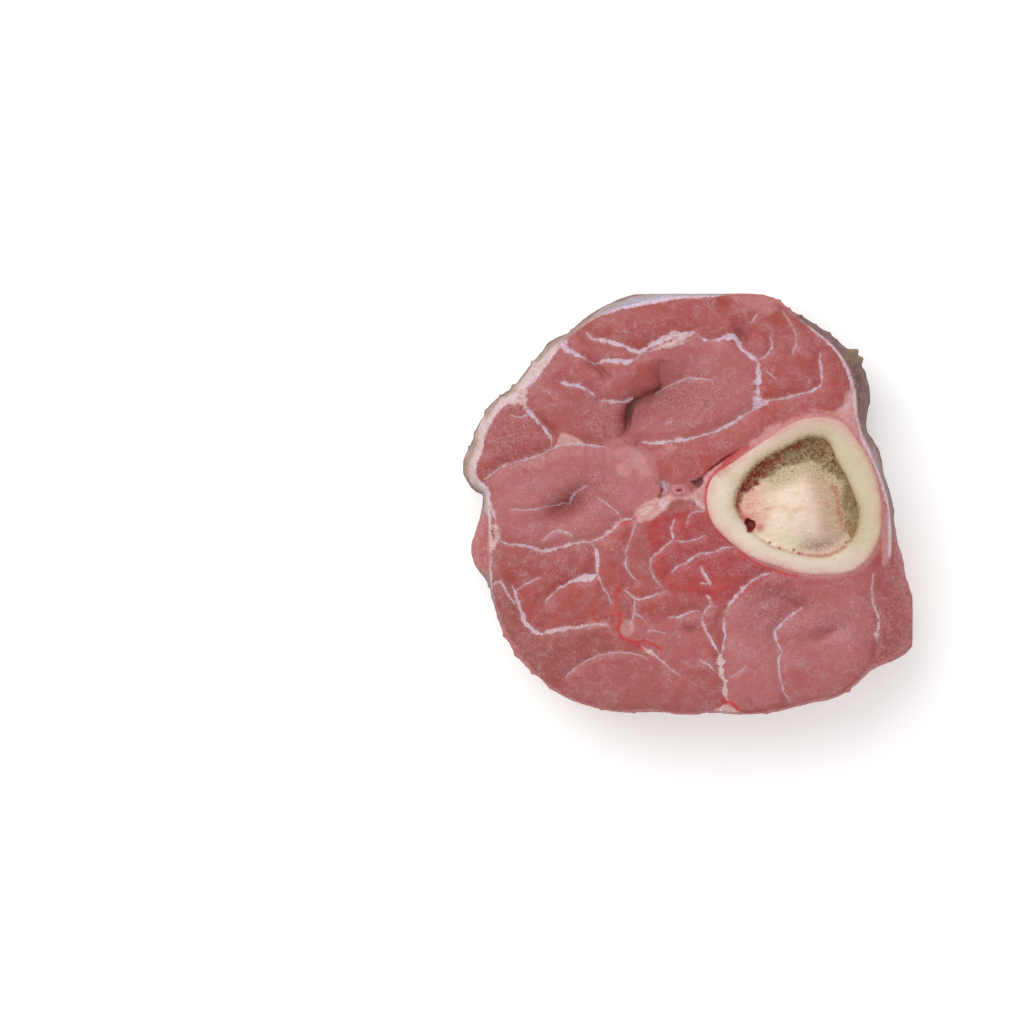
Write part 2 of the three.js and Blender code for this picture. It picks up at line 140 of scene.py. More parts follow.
MARROW_EDGE = [
    (12.2, 1.2), (12.2, -9), (18, -13), (27, -15), (35, -15), (37.4, -10), (35.9, -5), (35.6, 0),
    (34.6, 4.4), (31.6, 7), (28.6, 9.3), (24.8, 8.6), (20, 6.5), (15.5, 4.2),
]

# Seams of white tissue in the cut face: width at each end, groove depth, creaminess, how broken, path.
SEAMS = [
    (0.6, 1.4, 0.9, 0.3, 0.0, [(-24.6, 40.1), (-23.4, 38.8), (-20.2, 38.3), (-16.5, 37.3), (-13.1, 35.7),
        (-11.4, 35.8), (-7.8, 38.1), (-3.9, 39.8), (-0.9, 39.5), (1, 40.3)]),
    (1.2, 1.1, 0.6, 0.1, 0.0, [(2.2, 39.3), (3.6, 38.5), (5.4, 38.2), (7.6, 38.8), (9.7, 39.3),
        (10.9, 38.4), (11.6, 36.5), (13.2, 35), (15, 33.9), (15.8, 33)]),
    (1.2, 1.3, 0.5, 0.0, 0.0, [(15.8, 33), (15.8, 29.3), (15.7, 26.7), (15.6, 25.2), (15.9, 23.3)]),
    (0.3, 0.5, 0.3, 0.5, 0.2, [(-13.1, 34.1), (-11.7, 34.9), (-8.7, 36.2), (-4.4, 36.9), (-0.5, 38.4)]),
    (0.8, 0.7, 0.8, 0.1, 0.0, [(15, 22.3), (12.2, 20.6), (9.3, 18.6), (6.4, 17.2), (3, 16), (-1, 15),
        (-4.5, 14.7), (-8.3, 14.2), (-11.5, 14.3)]),
    (0.5, 0.7, 0.6, 0.3, 0.4, [(17.8, 24.2), (21.2, 24.5), (25.3, 25.6), (29, 26.6), (30.7, 28),
        (30.8, 30.1), (30.4, 32.6), (30.5, 35.2)]),
    (0.7, 0.3, 0.4, 0.1, 0.1, [(16.1, 33.5), (17.3, 34.3), (18.3, 35.4), (19, 36.9), (18.5, 39.1)]),
    (0.2, 0.3, 0.1, 0.3, 0.2, [(17.6, 31.3), (18.6, 30.4), (19.8, 29.1)]),
    (0.3, 0.4, 0.2, 0.2, 0.4, [(21.4, 45.2), (22.9, 43), (24.3, 40.8), (24.6, 37.4), (24, 35.4)]),
    (1.4, 0.5, 0.5, 0.0, 0.0, [(-30.4, 36.9), (-27.3, 35.2), (-25.3, 34.2), (-22.6, 32.6)]),
    (0.5, 1.3, 0.5, 0.0, 0.0, [(-22.6, 32.6), (-20.7, 33.4), (-16.3, 33.4), (-14.8, 33.1), (-13.2, 34)]),
    (0.8, 1.0, 0.5, 0.1, 0.3, [(-30.7, 28.6), (-29.2, 28.1), (-26.8, 27.6), (-24.6, 26.7), (-22.6, 25.3)]),
    (0.7, 0.9, 0.6, 0.2, 0.3, [(-21.2, 24.2), (-18, 23.9), (-15.6, 23.8), (-13.8, 24.9)]),
    (1.3, 0.9, 0.5, 0.0, 0.1, [(-38.9, 22.5), (-37.5, 20.9), (-35.3, 18.6), (-34.1, 16.9), (-32.9, 15.3),
        (-32.9, 13)]),
    (0.4, 0.5, 0.3, 0.1, 0.2, [(-42.4, 20.6), (-40.2, 20.2), (-38.5, 20.8)]),
    (0.8, 0.7, 0.8, 0.4, 0.1, [(-48.4, 5.6), (-46.3, 7.3), (-44.8, 8.3), (-43, 9.4)]),
    (0.5, 0.7, 0.8, 0.1, 0.1, [(-41.3, 9.6), (-38.9, 10.3), (-34.8, 11.8), (-31.2, 13.4), (-26.8, 14),
        (-23.5, 13.7), (-20.5, 13.2)]),
    (0.9, 0.8, 0.4, 0.7, 0.1, [(-47.8, 3.8), (-47.5, 0.5), (-46.7, -2), (-46, -4)]),
    (0.4, 0.4, 0.2, 0.2, 0.1, [(-46.6, -12.5), (-47, -16), (-46.7, -19.2)]),
    (0.5, 0.8, 0.9, 0.2, 0.1, [(-45.3, -8.8), (-42.8, -9.7), (-38.9, -10.1), (-34.6, -11.3), (-31, -10.4)]),
    (0.8, 0.9, 0.7, 0.6, 0.1, [(-31, -10.4), (-27.7, -9.6), (-22.4, -8.7), (-20.4, -7.8), (-18, -5.8),
        (-16.5, -4.2), (-14, -3.8)]),
    (0.4, 0.4, 0.3, 0.1, 0.1, [(-21.8, 1.4), (-19.5, -0.3), (-17.2, -2.4), (-16.5, -4.2)]),
    (0.9, 0.9, 0.6, 0.5, 0.1, [(-23.6, -9.3), (-22.6, -10.7), (-21.9, -12.5), (-22, -14.4),
        (-22.1, -16.8)]),
    (1.6, 0.4, 0.6, 0.35, 0.0, [(-22.1, -16.8), (-24.3, -17.4), (-28, -18.4), (-31.4, -20.3),
        (-34.6, -23.5)]),
    (0.7, 0.3, 0.3, 0.3, 0.1, [(-22.1, -16.8), (-20.7, -19.6), (-18.7, -23.5)]),
    (0.6, 1.3, 0.9, 0.3, 0.0, [(-42.3, -19.3), (-41.4, -20.8), (-40.2, -25.2), (-38, -29.1),
        (-35.3, -30.8)]),
    (1.0, 0.8, 0.5, 0.6, 0.4, [(-35.3, -30.8), (-31.4, -29.8), (-26.8, -29.2), (-21.9, -28.4),
        (-20, -28.6)]),
    (0.4, 0.3, 0.2, 0.1, 0.2, [(-41.4, -20.8), (-39.9, -19.8), (-37.7, -18.4), (-35.5, -17.5)]),
    (0.5, 0.5, 0.3, 0.1, 0.1, [(-46.7, -19.2), (-45.3, -18.5), (-44.3, -19.1), (-43.6, -20.8),
        (-41.4, -23.7)]),
    (0.3, 0.3, 0.3, 0.3, 0.4, [(-29.4, -40.6), (-26, -38), (-21.4, -35.7), (-18, -35.1), (-13.1, -35.4),
        (-10.7, -36.4)]),
    (0.9, 0.3, 0.4, 0.8, 0.1, [(-11.6, -33.9), (-10, -34.7), (-8.5, -35.8), (-5.6, -38.4), (-2.9, -40.4)]),
    (0.5, 0.6, 0.3, 0.6, 0.5, [(-15.8, -20.3), (-14.3, -21.6), (-12.9, -22.5), (-9.7, -22), (-5.8, -20.6)]),
    (0.5, 0.5, 0.3, 0.6, 0.3, [(-13.3, -22.8), (-13.5, -26), (-14.3, -28.6)]),
    (0.4, 0.3, 0.3, 0.5, 0.4, [(-13.4, -25.7), (-11.2, -27.3)]),
    (0.5, 0.5, 0.4, 0.2, 0.3, [(-7, -19.6), (-9, -16.9), (-9.1, -12.9), (-6.8, -10.7), (-4.2, -8.3),
        (-4.6, -5.9), (-3.9, -3.9)]),
    (0.4, 0.3, 0.2, 0.2, 0.5, [(-3.4, -8.8), (-1.9, -9.2), (0, -8.8), (1.5, -8.4), (3.2, -7.6)]),
    (0.6, 0.5, 0.4, 0.1, 0.1, [(-13.1, -4.6), (-13.7, -6.6), (-15.1, -10.7), (-15, -15.4), (-12.8, -18.4)]),
    (0.5, 0.7, 0.5, 0.1, 0.2, [(-4.8, -16.5), (-3.4, -15.1), (-0.9, -13.7), (2.2, -11.6)]),
    (0.6, 0.5, 0.4, 0.3, 0.6, [(2.2, -11.6), (3.9, -11.6), (6.4, -11.1), (8.1, -10.5), (10.3, -10.4)]),
    (0.3, 0.3, 0.1, 0.2, 0.3, [(-0.9, -4.9), (-0.5, -3.2), (1, -2), (3.2, -1.9)]),
    (1.0, 0.6, 0.5, 0.1, 0.0, [(3.7, -21.8), (4.9, -23.7), (4, -24.7), (2.7, -26.2)]),
    (0.7, 0.7, 0.6, 0.3, 0.1, [(2, -25.5), (0.3, -25.4), (-2.9, -26.8), (-5.3, -26.8)]),
    (0.4, 0.7, 0.5, 0.4, 0.1, [(2.7, -26.2), (2.7, -27.6), (4.7, -32), (6.6, -35.2)]),
    (0.7, 0.6, 0.6, 0.1, 0.1, [(7.8, -27.2), (7.7, -29.1), (8.1, -30.8), (7.5, -33.4), (7.3, -35.5)]),
    (1.6, 1.0, 0.8, 0.7, 0.0, [(7, -35.6), (7, -38.5), (7.4, -40.6), (7.9, -42.4), (8.4, -46.2)]),
    (0.5, 0.3, 0.2, 0.1, 0.0, [(9, -41), (10.5, -40.3), (12.9, -38.4)]),
    (0.4, 0.4, 0.2, 0.6, 0.1, [(2, -36.8), (3.9, -38), (5.9, -39.6)]),
    (0.9, 0.5, 0.8, 0.2, 0.1, [(26, -24.7), (23.1, -26.7), (20.2, -29.6), (19.8, -31.1), (21.4, -35)]),
    (0.7, 0.4, 0.6, 0.2, 0.1, [(21.4, -35), (20.7, -36.7), (21, -41), (22.1, -44.9), (23.2, -46.6)]),
    (0.7, 0.9, 0.6, 0.3, 0.6, [(19.5, -16.2), (15.9, -17.3), (13.2, -19.1), (10.5, -22), (8.1, -25.7)]),
    (0.6, 0.8, 0.3, 0.6, 0.3, [(2.2, -14.7), (3, -16.4), (4.7, -19.4)]),
    (0.5, 0.5, 0.2, 0.5, 0.3, [(2.2, -18.9), (4.4, -18.8)]),
    (0.3, 0.3, 0.1, 0.2, 0.4, [(-10.2, -30.1), (-8.3, -30), (-6.1, -30.7)]),
    (0.2, 0.8, 0.2, 0.1, 0.3, [(-42.6, -1.5), (-38, -1.5), (-32.6, -0.5), (-30.2, 0), (-28.7, 0)]),
    (0.9, 0.3, 0.3, 0.0, 0.3, [(-28.7, 0), (-28, 1.2), (-27.1, 2.6), (-24.6, 4)]),
    (0.5, 0.4, 0.2, 0.2, 0.1, [(-34.8, -8.8), (-33.3, -7.3), (-30.7, -6.5), (-28.7, -7.1), (-27.7, -8.6)]),
    (0.3, 0.4, 0.2, 0.1, 0.2, [(-8.6, 25.4), (-6.6, 26.8), (-0.9, 29.3), (4.7, 29)]),
    (0.4, 0.4, 0.2, 0.9, 0.4, [(13.9, 42.3), (14.8, 43.3), (15.6, 44.4)]),
    (1.3, 0.5, 0.3, 0.5, 0.1, [(-6.3, 5.3), (-6.1, 3.8), (-5.7, 2.6)]),
    (1.0, 0.6, 0.4, 0.8, 0.3, [(34.2, 20.8), (36.2, 22.6), (37.6, 25.6), (38, 28.5)]),
    (0.6, 0.9, 0.1, 0.75, 0.5, [(42.8, -16.6), (42.5, -20), (42.8, -23.7), (44.4, -27.6), (43.6, -30.8),
        (43.8, -33.6)]),
]

# Filled patches: creaminess, how far their edge is blurred, outline.
PATCHES = [
    (0.1, 0.5, [(14.4, 22.3), (14.8, 25.4), (16.4, 25.2), (18.6, 24.4), (17.9, 23.2), (15.6, 21.9)]),
    (0.7, 0.6, [(-9.8, 35.6), (-6.6, 37.8), (-2.4, 39.2), (-0.8, 38.8), (-3.4, 37.2), (-6.6, 36.1)]),
    (0.8, 0.5, [(-43.4, 23.4), (-40.6, 26.4), (-38.4, 27.8), (-38.6, 25), (-38.4, 21.8), (-39.8, 22.9)]),
    (0.1, 0.5, [(-31.4, 37.6), (-29, 38.9), (-28.9, 36.2), (-27.3, 35.4), (-30.2, 35.7)]),
    (0.9, 0.5, [(-46.9, -4.7), (-45.3, -5.4), (-44.9, -8.6), (-46.3, -10.9), (-47.4, -12.6), (-47.4, -9.6),
        (-46.7, -8)]),
    (0.9, 0.4, [(6.2, -48), (8.4, -47.6), (11.2, -48.6), (11.6, -50), (9, -50.6), (5.6, -49.8)]),
    (0.5, 0.6, [(-8, -0.6), (-6.6, 0.9), (-4.9, 0.9), (-5.2, -0.6), (-6.8, -1.9)]),
    (0.3, 0.5, [(0.2, 0.9), (1.6, 1), (3.2, -0.2), (3.5, -1.8), (2.2, -1)]),
]

# Pink fat, less white than the patches above: strength and outline.
PINK_FAT = [
    (1.0, [(-31.6, 13.4), (-30.4, 16.3), (-27.6, 15.8), (-25.4, 14.6), (-25, 13.6), (-28.6, 13.5)]),
    (0.32, [(-18, 11.6), (-15.2, 14), (-12.6, 13), (-10.8, 10.4), (-9.2, 6.6), (-11.2, 6), (-13.2, 8)]),
    (0.4, [(-17.6, 9), (-15.4, 9.6), (-13.8, 7.2), (-16.4, 6.2)]),
    (0.42, [(-13.2, 10.6), (-11.6, 10.8), (-10.2, 8.4), (-12, 7.6)]),
    (0.65, [(13.9, 13.2), (13.8, 14.6), (16, 15.6), (17.4, 17.6), (19.4, 18.4), (21.6, 18.9), (20.6, 16.8),
        (17.6, 14.8)]),
    (0.5, [(-15.6, -27.6), (-13.8, -28), (-13.4, -30), (-15, -31.4), (-16.4, -29.8)]),
    (0.25, [(9.4, 48.6), (13, 46.6), (17.6, 44.2), (20.6, 45.6), (20, 47.6), (14, 49.4)]),
    (0.3, [(-21, 14.2), (-16.5, 15.4), (-13, 14.4), (-16, 13)]),
    (0.3, [(-6, 13.6), (-3.6, 13.9), (-3.2, 12.6), (-5.6, 12.2)]),
    (0.6, [(44, 4), (46.2, -2), (47.2, -9), (47, -13), (45.2, -15), (44.8, -9), (44.6, -2)]),
    (0.8, [(28, 22), (34, 20.6), (38.6, 15.6), (41.6, 10), (43, 8), (42, 12), (39.4, 18), (38.6, 24),
        (37, 26.4), (34.6, 22)]),
    (1.0, [(-5.9, 1.7), (-4.5, 0.6), (-5.3, -0.9), (-7.3, -2.4), (-10.1, -4.2), (-12.9, -4.5),
        (-13.7, -3.3), (-12.9, -1.7), (-10.9, 0), (-8.4, 0.8)]),
    (1.0, [(-5.6, 1.9), (-1.6, 1.4), (1.1, 2.6), (2.6, 4.6), (3.2, 6.1), (7.4, 9.5), (7.8, 8.8), (4.2, 4.8),
        (3.3, 1.4), (3.8, -2.2), (1.7, -0.9), (0.2, 0.6), (-2.5, 0.8), (-4.6, 0.6)]),
    (0.35, [(-25, -28), (-22.4, -27.2), (-19.4, -28.6), (-22, -29.4), (-25, -29.4)]),
]

# Blood: width at each end and path.
BLOOD = [
    (0.6, 0.8, [(-16.8, -26), (-16.3, -27.1), (-17, -28.5), (-17.1, -30.2), (-16.4, -31.6), (-14.8, -32.4),
        (-13.2, -32.9), (-12, -33.8), (-10.4, -34.4)]),
    (0.5, 0.5, [(-12.6, -32.6), (-11, -32.2), (-9.5, -33.1), (-7.7, -34), (-6.9, -35.3)]),
    (0.3, 0.4, [(-18, -19.6), (-17.1, -20.4), (-17.1, -21.6), (-17.6, -23.2), (-18.1, -25.3),
        (-18.7, -26.9)]),
    (0.3, 0.4, [(-18.9, -26.6), (-17.8, -25.9), (-16.8, -26.2)]),
    (0.3, 0.4, [(-23.6, -25.2), (-22.8, -27), (-21.2, -28.2)]),
    (0.8, 1.3, [(7.4, -46.3), (8.4, -46.9), (9.8, -47.2), (10.8, -48.4)]),
    (0.5, 0.4, [(-17.4, -4.8), (-15.2, -4.6), (-13, -3.4)]),
    (0.1, 0.1, [(31.6, 27.6), (33.4, 27.9), (36, 27.9)]),
    (0.5, 0.8, [(3.5, 3.6), (4.4, 5.4), (6.4, 8), (9.6, 10.6), (13.4, 13.2)]),
    (0.5, 0.4, [(10.3, -10.6), (14.4, -13.6), (19, -15.6), (25, -17.2)]),
]

# Fine creases, darkened with painted shade: depth, width and path.
CREASES = [
    (0.3, 0.35, [(-40.9, 9.2), (-39.2, 7.8), (-37.2, 5.6)]),
    (0.35, 0.8, [(20.9, -22), (23.1, -23), (25.3, -24.2), (27.3, -25)]),
    (0.3, 0.9, [(34.1, -29.6), (32.1, -30.8), (30.2, -31.8), (28.2, -32.5)]),
    (0.4, 0.8, [(-2.4, -28.9), (-0.5, -29.6), (2, -30.3)]),
    (0.2, 0.7, [(-9.7, -27.9), (-7, -28.1)]),
    (0.5, 2.2, [(-34.4, -2.4), (-31, -1.4), (-27.6, 0.4), (-25.4, 2)]),
    (0.3, 0.8, [(3.2, 24), (4.4, 22.3)]),
    (0.9, 0.35, [(1.4, 5.9), (2.9, 6.5), (4.6, 7.9), (5.9, 8.9), (8.2, 10.6), (12.8, 13.4)]),
    (0.4, 0.4, [(-6.6, 3.6), (-6.9, 2.6)]),
    (0.5, 0.6, [(-6.6, 2), (-7.6, 0.9)]),
    (0.4, 0.3, [(-8.8, 5.6), (-7.4, 4.6), (-6.8, 3.4), (-7.4, 1.6), (-8, 0.8)]),
    (0.7, 1.4, [(11, 41.6), (11.7, 39.8), (13.2, 37.6)]),
    (0.3, 0.6, [(-46.6, 10.4), (-44.2, 9.9), (-41.6, 9.4)]),
    (0.3, 0.6, [(13.4, -45.6), (14.4, -47), (14.1, -48.4)]),
    (0.25, 1.2, [(-36.2, 21.6), (-34, 19), (-31.6, 16.6), (-31.2, 14.8)]),
    (0.4, 0.7, [(-25.1, 33.4), (-21.9, 32), (-19.5, 30.1), (-18, 28.6)]),
    (0.6, 0.8, [(44.2, -31), (43.8, -34.2), (42.6, -37.4)]),
    (0.7, 0.9, [(-16.2, 15.9), (-15, 18), (-14.6, 20.8), (-14, 22.4), (-12, 23.9)]),
    (0.5, 0.8, [(-9.6, 25.8), (-7.4, 27), (-6.8, 28.4)]),
]

# Soft hollows: centre, half sizes, turn in degrees, depth. The depth also sets how much painted shade the
# hollow gets.
HOLLOWS = [
    ((-8, 23), (12, 5.5), 55, 2.2), ((-29, -0.6), (6, 3), 35, 2.8), ((-23.5, 23.5), (6, 2.5), -35, 0.8),
    ((12.5, 40), (4, 2.2), -70, 1.2), ((21.5, -22.6), (6, 2.4), -25, 1.4),
    ((31.5, -30.8), (5, 1.6), 20, 0.9), ((8.8, 46.6), (3, 1.8), 0, 0.7), ((0.5, -29.8), (3, 1), -20, 0.7),
]

# Sunken spots with a clear edge: depth, darkness of their painted shade, how grey their film is, outline.
SUNKEN = [
    (1.5, 0.55, 0.75, [(-0.2, 5), (1.6, 5.9), (2.9, 6.3), (2.8, 4.8), (1.8, 3.2), (1.2, 3.9)]),
    (0.3, 0.0, 0.8, [(-8.6, 5.5), (-6.2, 5.4), (-4.6, 4.8), (-5.4, 2.2), (-6.3, 1.5), (-7.6, 0.9),
        (-6.8, 3.5)]),
]

# Whitish film over the muscle: centre, half sizes, turn, strength.
FILM_SPOTS = [
    ((18.5, -23.4), (3.6, 1.4), 10, 0.7), ((12, -35), (4, 2.6), 50, 0.45), ((36, -33.5), (5, 3), 60, 0.5),
    ((-26.7, 11.6), (0.8, 0.6), 0, 1.0), ((24, -38.5), (6, 1.2), 12, 0.4), ((39, -22), (3, 4), 20, 0.3),
    ((-29.4, -1), (1.6, 4), 55, 0.5), ((-38, 3), (6, 2.4), 20, 0.25), ((4, 33), (4, 1.4), 30, 0.3),
    ((10, 29), (3, 4), 0, 0.2), ((-36, 24), (4, 2), 40, 0.3), ((-10, -40), (6, 2), 10, 0.25),
    ((-5.4, 19), (1.6, 0.6), 15, 0.9), ((-12, 17.3), (3.4, 0.5), 35, 0.6), ((-14, 10), (3, 2), 40, 0.4),
    ((25, 38), (4, 3), 0, 0.25), ((-20, -45), (8, 1.5), 0, 0.25), ((-41, -33), (2, 4), 30, 0.2),
    ((6, 44), (6, 1.5), 0, 0.2), ((-24, 31), (4, 2), -30, 0.25), ((-33.4, 26), (1.2, 3), 60, 0.6),
]

# Folds, where the ground on the right of the path drops away: drop, reach and path. The drop also sets the
# painted shade along the fold.
FOLDS = [
    (2.3, 5, [(-16.9, 15.1), (-15.6, 17.4), (-15.3, 20.8), (-14.8, 22.8), (-12.6, 24.5), (-9.6, 25.9),
        (-7.4, 27.4), (-7.5, 30), (-7.2, 33.6)]),
    (0.7, 1.6, [(-30.8, 14.6), (-33.8, 18.4), (-38, 22)]),
    (0.9, 2.5, [(-19.5, 28), (-21.5, 31), (-25, 33.2)]),
]

# Where the grain is coarse, dark and speckled: centre, half sizes, turn, strength.
COARSE_SPOTS = [
    ((-34, 42), (14, 6), 25, 0.6), ((-42, 15), (7, 6), 60, 0.8), ((6, -8), (7, 8), 40, 1.0),
    ((-3, 24.5), (9, 5.5), 25, 1.0), ((-26, 1), (9, 5), 30, 0.8), ((19, -25), (9, 6), -30, 0.9),
    ((-22, 20.5), (6, 4), -20, 0.8), ((-42, 16), (6, 6), 0, 0.5), ((-36, -13), (8, 3), 0, 0.4),
    ((12, -16), (6, 3.5), 0, 0.9), ((-3, -12), (6, 6), 0, 0.7), ((31, 30), (6, 4), 0, 0.4),
    ((-8, 40), (14, 5), 5, 0.35), ((32, -29), (7, 4), 20, 0.5), ((2, -38), (8, 1.4), 0, 0.5),
]

# Muscles and their tones, from deep red at 0 to pale pink at 1: how brown, outline.
MUSCLES = [
    (0.12, 0.1, [(-25, 41), (-12, 36), (1, 40), (10, 39.5), (12, 41), (18, 50), (0, 52), (-22, 46)]),
    (0.25, 0.1, [(12, 37), (16, 33), (16, 25), (32, 27.5), (39, 28), (36, 36), (22, 47), (14, 45)]),
    (0.3, 0.0, [(17, 23.5), (32, 27), (39, 27), (37, 19), (28, 21), (17, 16), (9, 10.5), (3, 6.5), (-6, 5),
        (-11, 13.5), (0, 15), (10, 19)]),
    (0.72, 0.1, [(-8, 33.5), (-13, 34), (-2, 37), (1, 39.5), (10, 38), (16, 32), (15, 23), (6, 17.5),
        (0, 15.2), (-12, 14.5), (-17, 15), (-14, 22), (-9, 27)]),
    (0.42, 0.25, [(-31, 36), (-24, 33), (-14, 33.5), (-8, 33), (-9, 27), (-15, 21), (-17, 15), (-28, 15),
        (-33, 16), (-39, 23), (-37, 29)]),
    (0.22, 0.3, [(-39, 22.5), (-33, 16), (-33, 12.5), (-42, 9.6), (-50, 6), (-50, 14), (-46, 22)]),
    (0.85, 0.15, [(-47, 6.5), (-42, 9.6), (-34, 12), (-28, 14), (-20, 13.4), (-11, 12), (-7, 4),
        (-13, -3.5), (-20, -8), (-31, -10.5), (-45, -9), (-47, -2)]),
    (1.0, 0.0, [(-20, 13), (-11, 13.5), (-8, 9), (-7, 2), (-12, -2.5), (-17, 0), (-20, 5)]),
    (0.12, 0.45, [(-47, -10), (-45, -8.8), (-31, -10.5), (-24, -9), (-22, -17), (-34, -22), (-40, -22),
        (-46, -19)]),
    (0.22, 0.1, [(-41, -20), (-31, -20), (-22, -17), (-18, -23), (-18, -28), (-34, -30.5), (-39, -27)]),
    (0.1, 0.9, [(-47, -18), (-42, -19.5), (-40, -26), (-36, -31), (-20, -28.6), (-18, -34), (-30, -41),
        (-34, -43), (-44, -30)]),
    (0.5, 0.35, [(-31, -44.5), (-28, -39), (-19, -35), (-12, -35.6), (-3, -40), (6, -40), (8, -49),
        (-18, -50)]),
    (0.6, 0.0, [(-18, -28), (-14, -33), (-3, -40), (6, -38), (4, -31), (2.6, -26), (-6, -26.6)]),
    (0.9, 0.05, [(8, -26), (13, -20), (20, -24), (25, -25), (20, -30), (21, -36), (21, -47), (9, -49),
        (7.6, -36)]),
    (0.86, 0.15, [(26, -24), (20, -30), (21, -36), (23, -47), (35, -45), (42, -38), (43, -24), (36, -20)]),
    (0.6, 0.1, [(20, -16), (14, -19), (10, -23), (20, -24), (27, -24), (43, -20), (46, -14), (38, -16.4)]),
    (0.05, -0.95, [(-11, -4), (3, -1), (5, -5), (11, -11), (20, -16), (8, -25), (3, -22), (-6, -20),
        (-9, -15)]),
    (0.3, 0.0, [(-22, -9), (-13, -4), (-15, -14), (-9, -20), (-14, -23), (-20, -22), (-22, -14)]),
    (0.3, 0.0, [(-13, -22), (-6, -20), (3, -21.6), (4.5, -24), (-1, -26), (-6, -27), (-12, -27)]),
]

# Soft spots of another tone: centre, half sizes, turn, tone.
TONE_SPOTS = [
    ((-4, 24), (8, 6.5), 40, 0.3), ((8, 21), (5, 2.5), 15, 0.75), ((-29, -1), (6, 3.5), 30, 0.5),
    ((18, -22.5), (6, 4), -20, 0.45), ((27, -39), (5, 4), 10, 0.55),
]

# The open vein in the marrow and the knob beside it: centre, half sizes and turn.
VEIN_MOUTH = ((14.3, -5.4), (2.1, 1.25), -60)
VEIN_KNOB = ((16.2, -5.6), (1.0, 0.9), 0)

# Soft spots in the filling of the ring: strength, centre, half sizes and turn.
PIT_PLACES = [(18.5, -9.3), (20.8, -10.7), (24.2, -11), (36.5, -9.2), (38, -6.6)]
RED_DOT_PLACES = [(33.5, 3.4), (30.6, 1.3), (21.3, -5.7), (18.2, -3.4), (26.3, 0.6), (33.3, -5)]
FILLING_SPOTS = {
    "murky": [(0.8, (32.4, -9.2), (5.4, 2.4), 8), (0.5, (28, -10.2), (4, 1.6), 0)],
    "pits": [(1, place, (0.5, 0.35), 30) for place in PIT_PLACES],
    "yellow": [(1, (24, -9), (3.6, 1.7), -12)],
    "shine": [(1, (28.5, -7.6), (4.4, 1.8), 5)],
    "bloody": [(1.2, (15.2, 6.2), (5.2, 2), 47), (0.8, (24, 13), (2.6, 1), 25),
               (0.6, (20.4, 10.2), (2.2, 1.2), 10), (0.5, (13.6, 3), (2.4, 1.2), 40)],
    "ochre": [(1, (31.6, 12), (2.6, 2.2), 0), (1, (38.2, -6.4), (1.1, 2.6), -10)],
    "milky": [(1, (21, 7), (2.6, 1.1), 20), (0.8, (23.6, 11.4), (1.8, 1), 20)],
    "lip": [(1, *VEIN_KNOB), (0.4, VEIN_MOUTH[0], (2.3, 2.4), 0)],
}

# Red lines in the filling: strength, width and path.
RED_EDGES = [
    (0.9, 0.6, [(11, 1.8), (11.1, -0.8), (12, -2.6), (13.2, -4)]),
    (0.55, 0.28, [(17, -8.8), (20, -10.6), (25.4, -12)]),
    (0.9, 0.6, [(25.6, -12), (27.6, -12.5), (32, -12.2), (34, -11.4), (36, -10.3)]),
    (0.62, 0.65, [(33.2, 3.8), (34.4, 1.6), (34.5, -1.6), (35, -4), (35.8, -6)]),
]
RED_STREAKS = [(0.9, 0.45, [(31.9, 0.1), (32.1, -0.9)]), (0.6, 1.2, [(29.2, 8.8), (30.6, 7.2)])]

# The cords beside the bone: centre, half sizes and turn.
ARTERY = ((-2.75, 3.05), (2.3, 1.5), 0)
ARTERY_BORE = (0.7, 0.17)
NERVE = ((-10.6, -1.65), (2.3, 1.15), 22)
# Rings of tissue on the end of a cord: share of its size, and how far each dips.
CORD_RINGS = [(0.95, 0.05), (0.88, 0.04), (0.8, 0.02), (0.7, 0.03), (0.6, 0.02), (0.5, 0.03), (0.4, 0.02)]


def smooth_path(points, step=PATH_STEP, closed=False):
    """Points at even steps along a smooth curve through the given ones, with all their numbers."""
    p = np.array(points, float)
    p = np.vstack([p[-1:], p, p[:2]]) if closed else np.vstack([2 * p[0] - p[1], p, 2 * p[-1] - p[-2]])
    share = np.linspace(0, 1, 24, endpoint=False)[:, None]
    pieces = []
    for a, b, c, d in zip(p[:-3], p[1:-2], p[2:-1], p[3:]):
        t0, t1, t2 = (max(np.linalg.norm(leg), 1e-6) ** 0.5 for leg in (b - a, c - b, d - c))
        leave = ((b - a) / t0 - (c - a) / (t0 + t1) + (c - b) / t1) * t1
        arrive = ((c - b) / t1 - (d - b) / (t1 + t2) + (d - c) / t2) * t1
        cubic = (2 * (b - c) + leave + arrive) * share ** 3
        pieces.append(b + leave * share + (3 * (c - b) - 2 * leave - arrive) * share ** 2 + cubic)
    fine = np.vstack(pieces + [p[-2:-1]])
    count = max(2, round(passed_along(fine)[-1] / step) + 1)
    line = even_steps(fine, count)
    return line[:-1] if closed else line


def passed_along(line):
    """How far each point lies along a line."""
    return np.concatenate([[0], np.cumsum(np.linalg.norm(np.diff(line, axis=0), axis=1))])


def even_steps(line, count, endpoint=True):
    """A given number of points at even steps along a line."""
    passed = passed_along(line)
    stops = np.linspace(0, passed[-1], count, endpoint=endpoint)
    return np.stack([np.interp(stops, passed, column) for column in line.T], axis=1)


def looped(loop):
    """A loop with its first point once more at the end."""
    return np.vstack([loop, loop[:1]])


def resample(outline, count):
    """The same closed outline with a given number of even steps."""
    return even_steps(looped(outline[:, :2]), count, endpoint=False)


def grown(outline, distance):
    """A counter-clockwise outline moved outwards."""
    ahead = np.roll(outline[:, :2], -1, axis=0) - np.roll(outline[:, :2], 1, axis=0)
    normals = np.stack([ahead[:, 1], -ahead[:, 0]], axis=1)
    normals = normals / np.linalg.norm(normals, axis=1)[:, None]
    return outline[:, :2] + normals * np.reshape(distance, (-1, 1))


